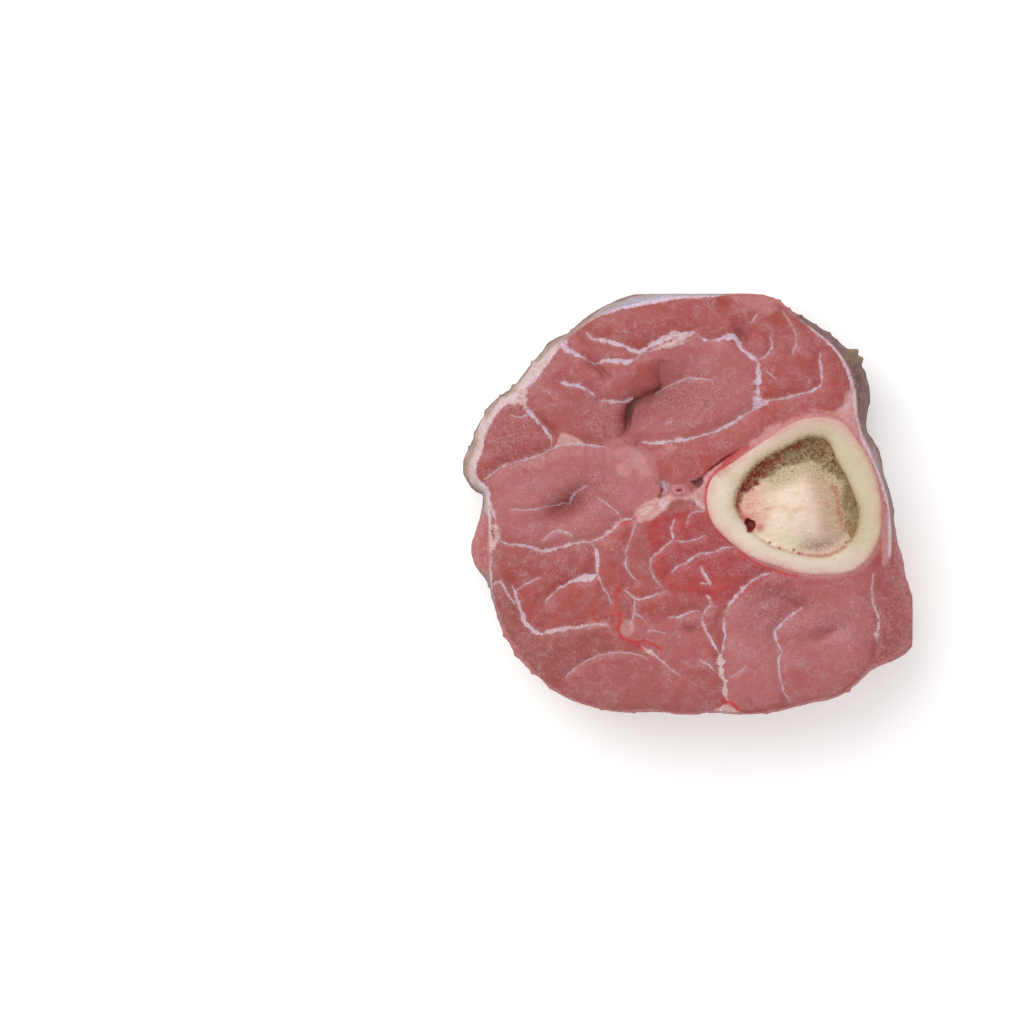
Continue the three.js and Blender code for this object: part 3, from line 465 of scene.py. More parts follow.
def turned(turn):
    """Cosine and sine of an angle in degrees."""
    return math.cos(math.radians(turn)), math.sin(math.radians(turn))


def ellipse(centre, half, turn, count):
    t = np.linspace(0, 2 * math.pi, count, endpoint=False)
    along, across = half[0] * np.cos(t), half[1] * np.sin(t)
    c, s = turned(turn)
    return np.stack([centre[0] + along * c - across * s, centre[1] + along * s + across * c], axis=1)


def in_oval(spot, x, y):
    """Places as an oval sees them: along and across it from its middle, in its half sizes."""
    (cx, cy), (half_long, half_wide), turn = spot
    c, s = turned(turn)
    return ((x - cx) * c + (y - cy) * s) / half_long, ((y - cy) * c - (x - cx) * s) / half_wide


def hollow(spot, x, y):
    """A soft dip of depth 1 over an oval: centre, half sizes, turn."""
    along, across = in_oval(spot, x, y)
    return np.exp(-along ** 2 - across ** 2)


def ovals(spots, x, y):
    """Several soft ovals in one: strength, centre, half sizes, turn."""
    return sum(strength * hollow(oval, x, y) for strength, *oval in spots)


def strongest(spots, x, y):
    """The strongest at each point of several soft ovals: centre, half sizes, turn, strength."""
    return np.max([strength * hollow(oval, x, y) for *oval, strength in spots], axis=0)


def smoothstep(low, high, value):
    share = np.clip((value - low) / (high - low), 0, 1)
    return share * share * (3 - 2 * share)


def lattice(i, j, k):
    """A repeatable random number from -1 to 1 for each cell."""
    n = (i * 73856093) ^ (j * 19349663) ^ (k * 83492791)
    n = ((n ^ (n >> 13)) * 1274126177) & 0x7FFFFFFF
    return ((n ^ (n >> 16)) & 0xFFFF) / 32767.5 - 1


def noise(x, y, size, z=0.0):
    """Smooth noise from -1 to 1, with bumps of about the given size."""
    axes = (x, y, z + 0 * x)
    cells = [np.floor(axis / size).astype(np.int64) for axis in axes]
    f = [axis / size - cell for axis, cell in zip(axes, cells)]
    f = [part * part * (3 - 2 * part) for part in f]
    total = 0
    for corner in range(8):
        near = [(corner >> axis) & 1 for axis in range(3)]
        weight = math.prod(part if step else 1 - part for part, step in zip(f, near))
        total = total + weight * lattice(*(cell + step for cell, step in zip(cells, near)))
    return total


def cloudy(x, y, size, octaves=3, z=0.0):
    """Several sizes of noise in one, each half the last."""
    layers = [noise(x + 17 * i, y - 11 * i, size / 2 ** i, z + 3.7 * i) / 2 ** i for i in range(octaves)]
    return sum(layers) / (2 - 2 ** (1 - octaves))


def drawn_noise(x, y, direction, pace, size, z=0.0):
    """Noise drawn out along a direction, for streaks."""
    c, s = direction
    return noise(pace * (x * c + y * s), x * -s + y * c, size, z)


def nearest(line, x, y, reach):
    """For each point: the distance to a line, up to reach, how far along it, and whether on its right."""
    distance = np.full(x.shape, float(reach))
    share = np.zeros(x.shape)
    right = np.zeros(x.shape, bool)
    low, high = line[:, :2].min(0) - reach, line[:, :2].max(0) + reach
    close = np.nonzero((x > low[0]) & (x < high[0]) & (y > low[1]) & (y < high[1]))[0]
    px, py = x[close], y[close]
    for i, (a, b) in enumerate(zip(line[:-1, :2], line[1:, :2])):
        leg = b - a
        limit = reach + np.linalg.norm(leg) / 2
        middle = (a + b) / 2
        part = np.nonzero((abs(px - middle[0]) < limit) & (abs(py - middle[1]) < limit))[0]
        if not len(part):
            continue
        dx, dy = px[part] - a[0], py[part] - a[1]
        t = np.clip((dx * leg[0] + dy * leg[1]) / (leg @ leg), 0, 1)
        found = np.hypot(dx - t * leg[0], dy - t * leg[1])
        where = close[part]
        better = found < distance[where]
        where, t = where[better], t[better]
        distance[where] = found[better]
        share[where] = (i + t) / (len(line) - 1)
        right[where] = (leg[0] * dy - leg[1] * dx)[better] < 0
    return distance, share, right


def inside(polygon, x, y):
    """Which points lie inside an outline."""
    odd = np.zeros(x.shape, bool)
    for (ax, ay), (bx, by) in zip(polygon[:, :2], np.roll(polygon[:, :2], -1, axis=0)):
        if ay != by:
            odd ^= ((ay > y) != (by > y)) & (x < (bx - ax) * (y - ay) / (by - ay) + ax)
    return odd


def depth_inside(polygon, x, y, reach):
    """How far inside an outline each point is, up to reach, and below zero outside it."""
    distance = nearest(looped(polygon), x, y, reach)[0]
    return np.where(inside(polygon, x, y), distance, -distance)


rim, bone_outer, bone_inner, marrow_edge = (
    smooth_path(outline, EDGE_STEP, closed=True) for outline in (RIM, BONE_OUTER, BONE_INNER, MARROW_EDGE))
rim_loop = looped(rim)[::2]
filling_edge = grown(bone_inner, -HAIR_GAP)
widest = grown(rim, rim[:, 2])
shift = np.array([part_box("meat")[0].x / MM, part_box("meat")[0].y / MM]) - widest.min(0)


def stray(x, y, level=0.0):
    """How far a line drawn on the cut face strays from its path."""
    return [0.28 * cloudy(x, y, 1.3, 3, level + offset) for offset in (0, 40)]


class Surface:
    """What the cut face is like at a set of points: its relief and the masks its colours are mixed by."""

    def __init__(self, x, y, level=0.0):
        self.x, self.y = x, y
        self.u, self.v = (place + strayed for place, strayed in zip((x, y), stray(x, y, level)))
        self.masks = {}
        self.height = np.zeros(x.shape)
        self.add_broad_relief()
        self.add_muscles()
        self.add_seams()
        self.add_patches()
        self.add_sunken_spots()
        self.add_blood()
        self.add_creases()
        self.add_grain()

    def along(self, path, reach):
        """Distance to a path, how far along it, and whether on its right."""
        return nearest(smooth_path(path), self.u, self.v, reach)

    def within(self, outline, reach):
        """How far inside a rounded outline."""
        return depth_inside(smooth_path(outline, closed=True), self.u, self.v, reach)

    def add_broad_relief(self):
        far = 12
        inward, self.round_rim, _ = nearest(rim_loop, self.x, self.y, far)
        self.inward = np.where(inside(rim, self.x, self.y), inward, 0)
        self.height -= ROLL_DEPTH * np.exp(-self.inward / ROLL_REACH)
        # The dark mask is painted shade: it darkens the hollows and the low ground beside each fold, most
        # where a fold is deepest.
        dark = np.zeros(self.x.shape)
        for *oval, depth in HOLLOWS:
            dip = depth * hollow(oval, self.x, self.y)
            self.height -= dip
            dark += 0.07 * dip
        for drop, reach, path in FOLDS:
            distance, share, right = self.along(path, far)
            fade = np.sqrt(np.clip(np.sin(math.pi * share), 0, 1))
            self.height -= drop * fade * np.exp(-distance / np.where(right, reach, FOLD_LIP))
            # Painted shade along the fold: soft on its rounded upper lip, strongest on the low ground at its
            # deepest part.
            rounding = np.where(right, 1, np.exp(-distance / 0.7))
            deepest = fade ** 2 * smoothstep(0.8, 0.3, share)
            shade = drop * (0.08 * fade + 0.27 * deepest) * np.exp(-(distance / (0.4 * reach)) ** 2)
            dark += rounding * shade
        self.masks["dark"] = dark

    def add_muscles(self):
        tone = np.full(self.x.shape, SURROUND_TONE)
        brown = np.full(self.x.shape, SURROUND_BROWN)
        for value, brownness, outline in MUSCLES:
            cover = smoothstep(-0.5, 0.5, depth_inside(np.array(outline, float), self.u, self.v, 1))
            tone += cover * (value - tone)
            brown += cover * (brownness - brown)
        for *oval, value in TONE_SPOTS:
            tone += hollow(oval, self.u, self.v) * (value - tone)
        self.masks["tone"] = tone
        # Browner towards the rim: painted shade where the cut face rolls off.
        self.masks["brown"] = brown + 0.5 * np.exp(-self.inward / 2.2)

    def add_seams(self):
        seam, cream, groove, halo = (np.zeros(self.x.shape) for _ in range(4))
        swell = 1.1 * cloudy(self.x, self.y, 1.1, 3, 21) + 0.6 * noise(self.x, self.y, 5, 31)
        gaps = smoothstep(-0.2, 0.45, noise(self.x, self.y, 1.6, 9))
        for start, end, depth, creaminess, broken, path in SEAMS:
            reach = 1.5 + 3 * depth
            distance, share, _ = self.along(path, reach)
            taper = 1 - 0.6 * smoothstep(0.75, 1, np.abs(2 * share - 1))
            half = 0.5 * (start + (end - start) * share) * taper * (0.8 + 0.8 * swell)
            mask = np.clip(0.43 + 0.3 * half + (half - distance) / SEAM_FADE, 0, 1)
            mask *= 1 - (0.03 + 0.6 * broken) * gaps
            cream = np.where(mask > seam, creaminess, cream)
            seam = np.maximum(seam, mask)
            close = distance < reach
            shoulder = 0.5 + 1.6 * depth
            groove = np.maximum(groove, close * depth * np.exp(-(distance / shoulder) ** 2))
            halo = np.maximum(halo, close * np.exp(-(distance / (half + 0.5)) ** 2))
        width, self.masks["pale"], self.masks["bare"] = side_looks(self.round_rim * len(rim))
        teeth = 0.6 * cloudy(self.x, self.y, 1.1, 3, 60) + 0.8 * noise(self.x, self.y, 3.5, 64)
        lining = np.clip(0.55 + (width * (1 + teeth) - self.inward) / SEAM_FADE, 0, 1)
        lining *= smoothstep(0.05, 0.3, width)
        self.masks["cream"] = np.where(lining > seam, 0.15 + 0.3 * noise(self.x, self.y, 5, 3), cream)
        self.masks["seam"] = np.maximum(seam, 0.95 * lining)
        self.masks["halo"] = halo
        self.height -= groove - 0.05 * smoothstep(0.2, 0.9, seam)

    def add_patches(self):
        waver = 0.3 * cloudy(self.x, self.y, 0.9, 2)
        for creaminess, blur, outline in PATCHES:
            mask = np.clip(0.45 + 0.5 * (self.within(outline, 1.5) + waver) / (0.5 + blur), 0, 0.72)
            self.masks["cream"] = np.where(mask > self.masks["seam"], creaminess, self.masks["cream"])
            self.masks["seam"] = np.maximum(self.masks["seam"], mask)
            self.height += 0.12 * mask
        waver = 0.35 * cloudy(self.x, self.y, 1.2, 3, 5)
        layers = [strength * smoothstep(-0.35, 0.35, self.within(outline, 2) + waver)
                  for strength, outline in PINK_FAT]
        self.masks["pink"] = np.max(layers, axis=0)
        self.height += 0.15 * self.masks["pink"]
        self.masks["film"] = strongest(FILM_SPOTS, self.u, self.v)

    def add_sunken_spots(self):
        self.masks["grey"] = np.zeros(self.x.shape)
        for depth, darkness, greyness, outline in SUNKEN:
            spot = smoothstep(-0.15, 0.45, depth_inside(np.array(outline), self.u, self.v, 2))
            self.masks["grey"] = np.maximum(self.masks["grey"], greyness * spot)
            # Painted shade in the sunken spot.
            self.masks["dark"] += darkness * spot
            self.masks["pink"] *= 1 - spot
            self.height -= depth * spot

    def add_blood(self):
        blood = np.zeros(self.x.shape)
        for start, end, path in BLOOD:
            distance, share, _ = self.along(path, 2)
            half = 0.5 * (start + (end - start) * share)
            blood = np.maximum(blood, 0.9 * smoothstep(0.62, -0.25, distance - 0.75 * half))
        around_bone = nearest(looped(bone_outer), self.x, self.y, 3)[0]
        bloody_side = smoothstep(18, 8, self.x) * smoothstep(-17, -10, self.y)
        shaken = around_bone + 0.35 * cloudy(self.x, self.y, 0.9, 2, 12)
        pink_ring = 0.8 * (1 - bloody_side) * np.exp(-(shaken / 0.8) ** 2)
        self.masks["blood"] = np.maximum(blood, (0.35 + 0.45 * bloody_side) * np.exp(-(shaken / 0.9) ** 2))
        self.masks["pink"] = np.maximum(self.masks["pink"], pink_ring)
        self.height += 0.35 * np.exp(-around_bone / 0.8)

    def add_creases(self):
        reach = 3
        for depth, width, path in CREASES:
            distance, share, _ = self.along(path, reach)
            cut = np.exp(-(distance / (0.75 * width)) ** 2) * np.clip(np.sin(math.pi * share), 0, 1)
            cut = np.where(distance < reach, cut, 0)
            self.height -= depth * cut
            # Painted shade in the crease.
            self.masks["dark"] += 0.34 * cut * min(1, depth + 0.2)

    def add_grain(self):
        coarse = self.masks["coarse"] = strongest(COARSE_SPOTS, self.x, self.y)
        plain = 1 - 0.5 * smoothstep(0.4, 0.8, self.masks["seam"])
        self.height += 0.13 * cloudy(self.x, self.y, 5.5, 2) * plain
        self.height += (0.05 + 0.05 * coarse) * cloudy(self.x, self.y, 1.4, 3) * plain


def bulge_share(depth):
    """How much of the bulge is reached at a share of the depth: a round shoulder, then a tucked foot."""
    below = np.clip((depth - WIDEST_DEPTH) / (1 - WIDEST_DEPTH), 0, 1)
    shoulder = np.sqrt(np.clip(1 - (1 - depth / WIDEST_DEPTH) ** 2, 0, 1))
    return np.where(depth < WIDEST_DEPTH, shoulder, 1 - (1 - FOOT_SHARE) * below ** 2)


def between(loops, x, y):
    """Which points lie inside the first loop and outside the others."""
    keep = inside(loops[0], x, y)
    for hole in loops[1:]:
        keep &= ~inside(hole, x, y)
    return keep


def triangulate(loops, spots):
    """The points and triangles of the area inside the first loop and outside the others."""
    points = np.vstack(list(loops) + [spots])
    edges = []
    start = 0
    for loop in loops:
        edges += [(start + i, start + (i + 1) % len(loop)) for i in range(len(loop))]
        start += len(loop)
    found, _, faces, *_ = delaunay_2d_cdt([Vector(p) for p in points.tolist()], edges, [], 1, 1e-7)
    if len(found) != len(points):
        raise ValueError("two points of an outline fell together")
    faces = np.array([tuple(face) for face in faces])
    return points, faces[between(loops, *points[faces].mean(axis=1).T)]


def scatter_grid(outline, step, jitter=0.12):
    """A triangular grid of points over an outline's bounds, slightly shaken."""
    low, high = outline[:, :2].min(0), outline[:, :2].max(0)
    ys = np.arange(low[1], high[1], step * math.sqrt(3) / 2)
    xs = np.arange(low[0], high[0], step)
    grid = np.stack(np.meshgrid(xs, ys), axis=-1)
    grid[1::2, :, 0] += step / 2
    spots = grid.reshape(-1, 2)
    return spots + RANDOM.normal(0, jitter * step, spots.shape)


def clear_of(spots, loops, gap):
    """The spots inside the first loop and outside the others, none closer than gap to any loop."""
    spots = spots[between(loops, *spots.T)]
    for loop in loops:
        spots = spots[nearest(looped(loop), *spots.T, gap)[0] >= gap]
    return spots


def detailed_spots(loops, grids):
    """Grid points that stand closer together along the seams, folds, creases and blood lines."""
    wide, close = (clear_of(scatter_grid(loops[0], step), loops, 0.3) for step in grids)
    paths = [(0.35 + 0.5 * max(start, end), path) for start, end, *_, path in SEAMS]
    paths += [(1, path) for *_, path in FOLDS + CREASES + BLOOD]

    def busy(spots):
        near = np.zeros(len(spots), bool)
        for reach, path in paths:
            near |= nearest(smooth_path(path, 0.8), *spots.T, SEARCH)[0] < reach
        return near
    return np.vstack([wide[~busy(wide)], close[busy(close)]])


def ring_faces(first, second):
    """Two triangles for each step between two loops of vertex numbers."""
    after_first, after_second = np.roll(first, -1), np.roll(second, -1)
    return np.vstack([
        np.stack([first, after_first, after_second], axis=1),
        np.stack([first, after_second, second], axis=1),
    ])


def new_piece(name, points, faces, masks=None, edges=()):
    """A smooth mesh object from points in millimetres, with its masks as attributes."""
    mesh = bpy.data.meshes.new(name)
    placed = np.clip((points + np.array([shift[0], shift[1], 0])) * MM, *np.array(cad_bounds))
    mesh.from_pydata(placed.tolist(), list(edges), faces.tolist())
    for mask, values in (masks or {}).items():
        attribute = mesh.attributes.new(mask, "FLOAT", "POINT")
        attribute.data.foreach_set("value", np.asarray(values, np.float32))
    mesh.validate()
    mesh.shade_smooth()
    mesh.set_sharp_from_angle(angle=math.radians(SHARP_ANGLE))
    piece = bpy.data.objects.new(name, mesh)
    bpy.context.collection.objects.link(piece)
    return piece


def finish_piece(piece, node=None, material=None):
    if material:
        piece.data.materials.append(material)
    if node:
        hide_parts(node)
    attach(piece, "root")


def side_looks(places):
    """Lining, paleness and bareness at places along the rim."""
    stops = [int(np.argmin(np.hypot(rim[:, 0] - x, rim[:, 1] - y))) for (x, y), *_ in SIDE_LOOKS]
    order = np.argsort(stops)
    stops = np.array(stops)[order]
    looks = np.array([look[1:] for look in SIDE_LOOKS])[order]
    return [np.interp(places, stops, looks[:, i], period=len(rim)) for i in range(3)]


def evenly(value):
    return np.full(len(rim), value)


def side_rows(edge_z):
    """Rows of points down the side, from just below the rim to the foot, and their masks."""
    quarter_turn = np.linspace(0, math.pi / 2, 19)[1:]
    depths = [*(WIDEST_DEPTH * (1 - np.cos(quarter_turn))), *np.linspace(WIDEST_DEPTH, 1, 11)[1:]]
    lining, pale, bare = side_looks(np.arange(len(rim)))
    loose = evenly(0.0)
    for spot, reach, half in TABS:
        away = np.hypot(*(rim[:, :2] - spot).T)
        loose += reach * np.exp(-(away / half) ** 2)
    rows, row_masks = [], []
    for depth in depths:
        z = edge_z * (1 - depth)
        spread = rim[:, 2] * bulge_share(depth)
        x, y = grown(rim, spread).T
        settle = smoothstep(0, 0.12, depth) * smoothstep(1, 0.9, depth)
        wrinkle = cloudy(x, y, 1.7, 3, z * 0.5) * 0.3 + cloudy(x, y, 6, 2, z * 0.4) * 0.35
        wrinkle += pale * 0.3 * np.abs(cloudy(x, y, 1.1, 2, z * 0.25))
        flap = loose * math.exp(-((depth - 0.34) / 0.3) ** 2)
        rows.append(np.column_stack([grown(rim, spread + (wrinkle + flap) * settle), z]))
        flap_colour = math.exp(-((depth - 0.3) / 0.35) ** 2)
        row_masks.append({
            "pale": pale, "bare": bare, "tone": evenly(0.6), "brown": evenly(0.2), "coarse": evenly(0.3),
            "skin": evenly(smoothstep(0.0, 0.012, depth)), "low": evenly(depth),
            "seam": 0.95 * smoothstep(0.05, 0.3, lining), "cream": smoothstep(46.5, 42, rim[:, 1]),
            "film": flap_colour * np.clip((loose - 0.7) / 0.8, 0, 1),
        })
    return rows, row_masks


def make_meat():
    """The upper face with its relief, the side in rows and a nearly flat lower face, as one closed mesh."""
    holes = [grown(bone_outer, HAIR_GAP)]
    holes += [grown(ellipse(*cord, HOLE_POINTS), HAIR_GAP) for cord in (ARTERY, NERVE)]
    loops = [rim[:, :2]] + holes
    top, top_faces = triangulate(loops, detailed_spots(loops, FACE_GRID))
    surface = Surface(*top.T)
    top_z = THICKNESS + surface.height
    m, n = len(rim), len(top)

    rows, row_masks = side_rows(top_z[:m])
    under_loops = [rows[-1][:, :2]] + holes
    under, under_faces = triangulate(under_loops, detailed_spots(under_loops, UNDER_GRID))
    below = Surface(*under.T, level=90)
    under_z = 0.12 + 0.1 * cloudy(*under.T, 6, 2) - 0.1 * below.masks["seam"]
    under_z[:m] = rows[-1][:, 2]
    under_z = np.clip(under_z, 0, None)
    under_z[m:m + sum(map(len, holes))] = 0.1

    points = np.vstack([np.column_stack([top, top_z])] + rows[:-1] + [np.column_stack([under, under_z])])
    loops_down = [np.arange(m)] + [n + k * m + np.arange(m) for k in range(len(rows))]
    base = loops_down[-1][0]
    faces = [top_faces] + [ring_faces(low, high) for high, low in zip(loops_down, loops_down[1:])]
    faces.append(under_faces[:, ::-1] + base)
    start = m
    for hole in holes:
        upper = start + np.arange(len(hole))
        faces.append(ring_faces(upper, base + upper))
        start += len(hole)
    layers = [(n, surface.masks)] + [(m, masks) for masks in row_masks[:-1]] + [(len(under), below.masks)]
    masks = {name: np.concatenate([masks.get(name, np.zeros(count)) for count, masks in layers])
             for name in [*surface.masks, "skin", "low"]}
    piece = new_piece("meat_slice", points, np.vstack(faces), masks)
    finish_piece(piece, "meat", flesh())


def make_bone():
    """The ring: its sides, a nearly flat sawn face and a rounded, rough inner mouth, as one closed band of
    loops.
    """
    outer, inner = resample(bone_outer, RING_POINTS), resample(bone_inner, RING_POINTS)
    inner = np.roll(inner, -int(np.argmin(np.hypot(*(inner - outer[0]).T))), axis=0)
    edge = np.minimum(THICKNESS + Surface(*outer.T).height, BONE_TOP)
    face_edge, mouth = grown(outer, -0.5), grown(inner, 1.3)
    loops = [(outer, z) for z in (0.0, 9.0, 18.0, edge - 0.8, edge - 0.02)]
    loops += [(grown(outer, -0.2), (edge + BONE_TOP - 0.1) / 2), (face_edge, BONE_TOP - 0.08)]
    first_sawn = len(loops) - 1
    for share in np.linspace(0.06, 1, 22):
        loops.append((face_edge * (1 - share) + mouth * share, BONE_TOP - 0.03 - 0.2 * share ** 5))
    first_worn = len(loops)
    mouth_depth = BONE_TOP - core(*grown(inner, -HAIR_GAP).T)[0]
    turns = (15, 30, 45, 60, 75, 90)
    for turn in turns:
        level, across = turned(turn)
        drop = 0.22 + (mouth_depth - 0.22) * (1 - level)
        loops.append((grown(inner, 1.3 - 1.3 * (across + turn / 90) / 2), BONE_TOP - drop))
    loops += [(inner, BONE_TOP - depth) for depth in (3, 4.2, 6, 10, 18)] + [(inner, 0.0)]
    loops += [(outer * (1 - share) + inner * share, 0.0) for share in np.linspace(0.9, 0.1, 9)]
    points = []
    for number, (loop, z) in enumerate(loops):
        lift = z * np.ones(RING_POINTS)
        if first_sawn <= number <= first_worn:
            lift += 0.035 * cloudy(*loop.T, 3, 3) + 0.012 * noise(loop[:, 0] * 0.5, loop[:, 1] * 4, 1.0)
        if first_worn <= number < first_worn + len(turns) - 1:
            lift += 0.12 * cloudy(*loop.T, 0.8, 3)
        points.append(np.column_stack([loop, np.minimum(lift, BONE_TOP)]))
    ids = np.arange(len(loops) * RING_POINTS).reshape(len(loops), RING_POINTS)
    faces = np.vstack([ring_faces(a, b) for a, b in zip(ids, np.roll(ids, -1, axis=0))])
    points = np.vstack(points)
    piece = new_piece("bone_ring", points, faces, bone_masks(*points.T[:2]))
    finish_piece(piece, "bone", sawn_bone())


def bone_masks(x, y):
    """How near the ring's edges a point is, and the colours of the filling that run on into the bone."""
    from_inner, from_outer = (nearest(looped(edge), x, y, 8)[0] for edge in (bone_inner, bone_outer))
    filling = core(x, y)[1]
    clean = 1 - 0.6 * smoothstep(31, 35, x) * smoothstep(-2, 5, y)
    return {
        "inner": np.exp(-from_inner / 1.6) * (0.25 + 0.75 * filling["spongy"]) * clean,
        "outer": np.exp(-from_outer / 1.1), "edge_red": filling["edge_red"] * (from_inner < 1.0),
        "bloody": filling["bloody"], "hole": filling["hole"],
    }


def core(x, y):
    """The height and the masks of the ring's filling, which the marrow and the spongy bone share."""
    u, v = (place + 1.1 * cloudy(x, y, 2.6, 4, layer) for place, layer in ((x, 3), (y, 33)))
    into_marrow = depth_inside(marrow_edge, u, v, 6)
    from_ring = np.clip(depth_inside(bone_inner, x, y, 6), 0, 6)
    spongy = smoothstep(1.8, -2.4, into_marrow)
    gel = smoothstep(33.5, 36.5, x) * smoothstep(7.5, 3, y)
    pores = cloudy(x, y, 0.62, 2, 5)
    knob = hollow(VEIN_KNOB, x, y)
    hole = hollow(VEIN_MOUTH, u, v) + 0.2 * noise(x, y, 1.3, 8) - 0.7 * knob

    soft = 2.1 * hollow(((24, -3), (11, 9), 20), x, y) - 2.2
    soft += 0.06 * drawn_noise(x, y, (0.94, 0.34), 0.25, 0.9)
    soft += 0.16 * cloudy(x, y, 2.8, 3) + 0.06 * cloudy(x, y, 0.7, 2)
    soft += (-0.7 - soft) * np.exp(-from_ring / 0.7)
    at_ring = np.exp(-from_ring / 1.1)
    rough = 1.5 * at_ring + (0.3 * cloudy(x, y, 2, 2) + 0.4 * pores) * (1 - 0.8 * gel) - 2.5
    rough += 0.8 * gel * (1 - at_ring)
    height = THICKNESS + soft + (rough - soft) * spongy - 1.7 * smoothstep(0.4, 0.7, hole) + 0.35 * knob

    masks = {name: ovals(spots, x, y) for name, spots in FILLING_SPOTS.items()}
    dull = smoothstep(26, 31.5, x + 0.25 * y) * smoothstep(-10, -6, y)
    masks.update({
        "spongy": spongy, "gel": gel, "pore": smoothstep(0.2, -0.5, pores),
        "hole": smoothstep(0.34, 0.55, hole), "dull": dull + 0.5 * hollow(((27, -8.6), (5, 1.8), 0), x, y),
        "streak": red_streaks(x, y, u, v, spongy), "edge_red": red_lines(RED_EDGES, u, v),
        "tan": smoothstep(5.2, 0.2, into_marrow) * smoothstep(14, 20, x) * smoothstep(-9, -3, y),
    })
    return height, {name: np.clip(mask, 0, 1) for name, mask in masks.items()}


def red_lines(lines, u, v):
    """Soft red lines: strength, width, path."""
    return sum(strength * np.exp(-(nearest(smooth_path(path, 0.5), u, v, 2.5)[0] / width) ** 2)
               for strength, width, path in lines)


def red_streaks(x, y, u, v, spongy):
    """Blood drawn out over the marrow from its left, and a few dots and lines of it."""
    broad, thin = (drawn_noise(u, v, (0.96, 0.28), pace, size, layer)
                   for pace, size, layer in ((0.3, 0.9, 2), (0.28, 0.4, 6)))
    pink_side = smoothstep(33, 15, x) * smoothstep(-8, -4, y) * smoothstep(5, 0.5, y)
    streak = pink_side * 0.3 * (smoothstep(-0.3, 0.7, broad) + smoothstep(0.2, 0.8, thin))
    streak += 0.75 * smoothstep(21, 12, x) * smoothstep(-7, -3, y) * (1 - spongy)
    dots = [(0.6, place, (0.35, 0.25), 0) for place in RED_DOT_PLACES]
    return streak + red_lines(RED_STREAKS, u, v) + ovals(dots, x, y)


def run_of(loop, wanted):
    """The wanted points of a loop, which follow one another, as an open run."""
    first = next(i for i in range(len(loop)) if wanted[i] and not wanted[i - 1])
    return np.roll(loop, -first, axis=0)[:int(wanted.sum())]


def joined(run, back):
    """Two open runs as one outline, the second the other way round if its far end is nearer."""
    if np.hypot(*(back[0] - run[-1])) > np.hypot(*(back[-1] - run[-1])):
        back = back[::-1]
    return np.vstack([run, back])


def crescent(hull, cut):
    """The part of a closed outline that lies outside another, as one outline."""
    return joined(run_of(hull, ~inside(cut, *hull.T)), run_of(cut, inside(hull, *cut.T)))


def plug(name, outline, step, slot):
    """A closed plug of the ring's filling, with its relief on top and a flat base. The slot and the node that
    it replaces have one name."""
    loop = resample(outline, int(len(outline) * EDGE_STEP / (step * 1.2)))
    top, faces = triangulate([loop], clear_of(scatter_grid(loop, step, 0.1), [loop], step * 0.6))
    base, base_faces = triangulate([loop], clear_of(scatter_grid(loop, 1.5, 0.1), [loop], 1))
    n, m = len(top), len(loop)
    height, masks = core(*top.T)
    under = core(*base.T)[1]
    points = np.vstack([np.column_stack([top, height]), np.column_stack([base, np.full(len(base), LIFT)])])
    faces = np.vstack([faces, base_faces[:, ::-1] + n, ring_faces(np.arange(m) + n, np.arange(m))])
    masks = {mask: np.concatenate([masks[mask], under[mask]]) for mask in masks}
    finish_piece(new_piece(name, points, faces, masks), slot, ring_filling(slot))


def make_spongy_bone():
    plug("spongy_bone_crescent", crescent(filling_edge, grown(marrow_edge, HAIR_GAP)), 0.17, "spongy_bone")


def make_marrow():
    outline = joined(run_of(marrow_edge, inside(filling_edge, *marrow_edge.T)),
                     run_of(filling_edge, inside(marrow_edge, *filling_edge.T)))
    plug("marrow_plug", outline, 0.22, "marrow")


def make_cord(name, spot, bore, node, material):
    """An oval cord that meets the meat round it without a step, with rings of tissue round its bore."""
    centre, half, turn = spot
    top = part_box(node)[1].z / MM
    edge = THICKNESS + Surface(*ellipse(*spot, CORD_POINTS).T).height

    def oval(size, z):
        return np.column_stack([ellipse(centre, size, turn, CORD_POINTS), z + np.zeros(CORD_POINTS)])
    points = [oval(half, z) for z in (LIFT, 6, 16, edge - 0.6, edge)]
    for share, dip in CORD_RINGS:
        z = edge + (top - edge) * smoothstep(1.0, 0.7, share) - dip
        points.append(oval((half[0] * share, half[1] * share), z))
    if bore:
        pinched = (bore[0] * 0.6, bore[1] * 0.25)
        down = ((bore, top - 0.12), (bore, top - 0.3), (pinched, top - 0.7), (pinched, LIFT))
        points += [oval(size, z) for size, z in down]
    ids = np.arange(len(points) * CORD_POINTS).reshape(len(points), CORD_POINTS)
    faces = [ring_faces(a, b) for a, b in zip(ids, ids[1:])]
    if bore:
        faces.append(ring_faces(ids[-1], ids[0]))
    else:
        points.append(np.array([(*centre, top - 0.02), (*centre, LIFT)]))
        upper, lower = (np.full(CORD_POINTS, ids.size + end) for end in (0, 1))
        faces.append(np.stack([ids[-1], np.roll(ids[-1], -1), upper], axis=1))
        faces.append(np.stack([np.roll(ids[0], -1), ids[0], lower], axis=1))
    points = np.vstack(points)
    out = np.hypot(*in_oval(spot, *points.T[:2]))
    finish_piece(new_piece(name, points, np.vstack(faces), {"out": out}), node, material)


class Nodes:
    """What a material and a Geometry Nodes tree have in common."""
    prefix = ""

    def new_node(self, kind, settings=None, values=None):
        """Any node: its settings are set first, then its sockets by value or link."""
        node = self.tree.nodes.new(self.prefix + kind)
        for name, value in (settings or {}).items():
            setattr(node, name, value)
        for key, value in (values or {}).items():
            self.feed(node.inputs[key], value)
        return node

    def feed(self, socket, value):
        value = getattr(value, "socket", value)
        if isinstance(value, bpy.types.NodeSocket):
            self.tree.links.new(value, socket)
        else:
            socket.default_value = value


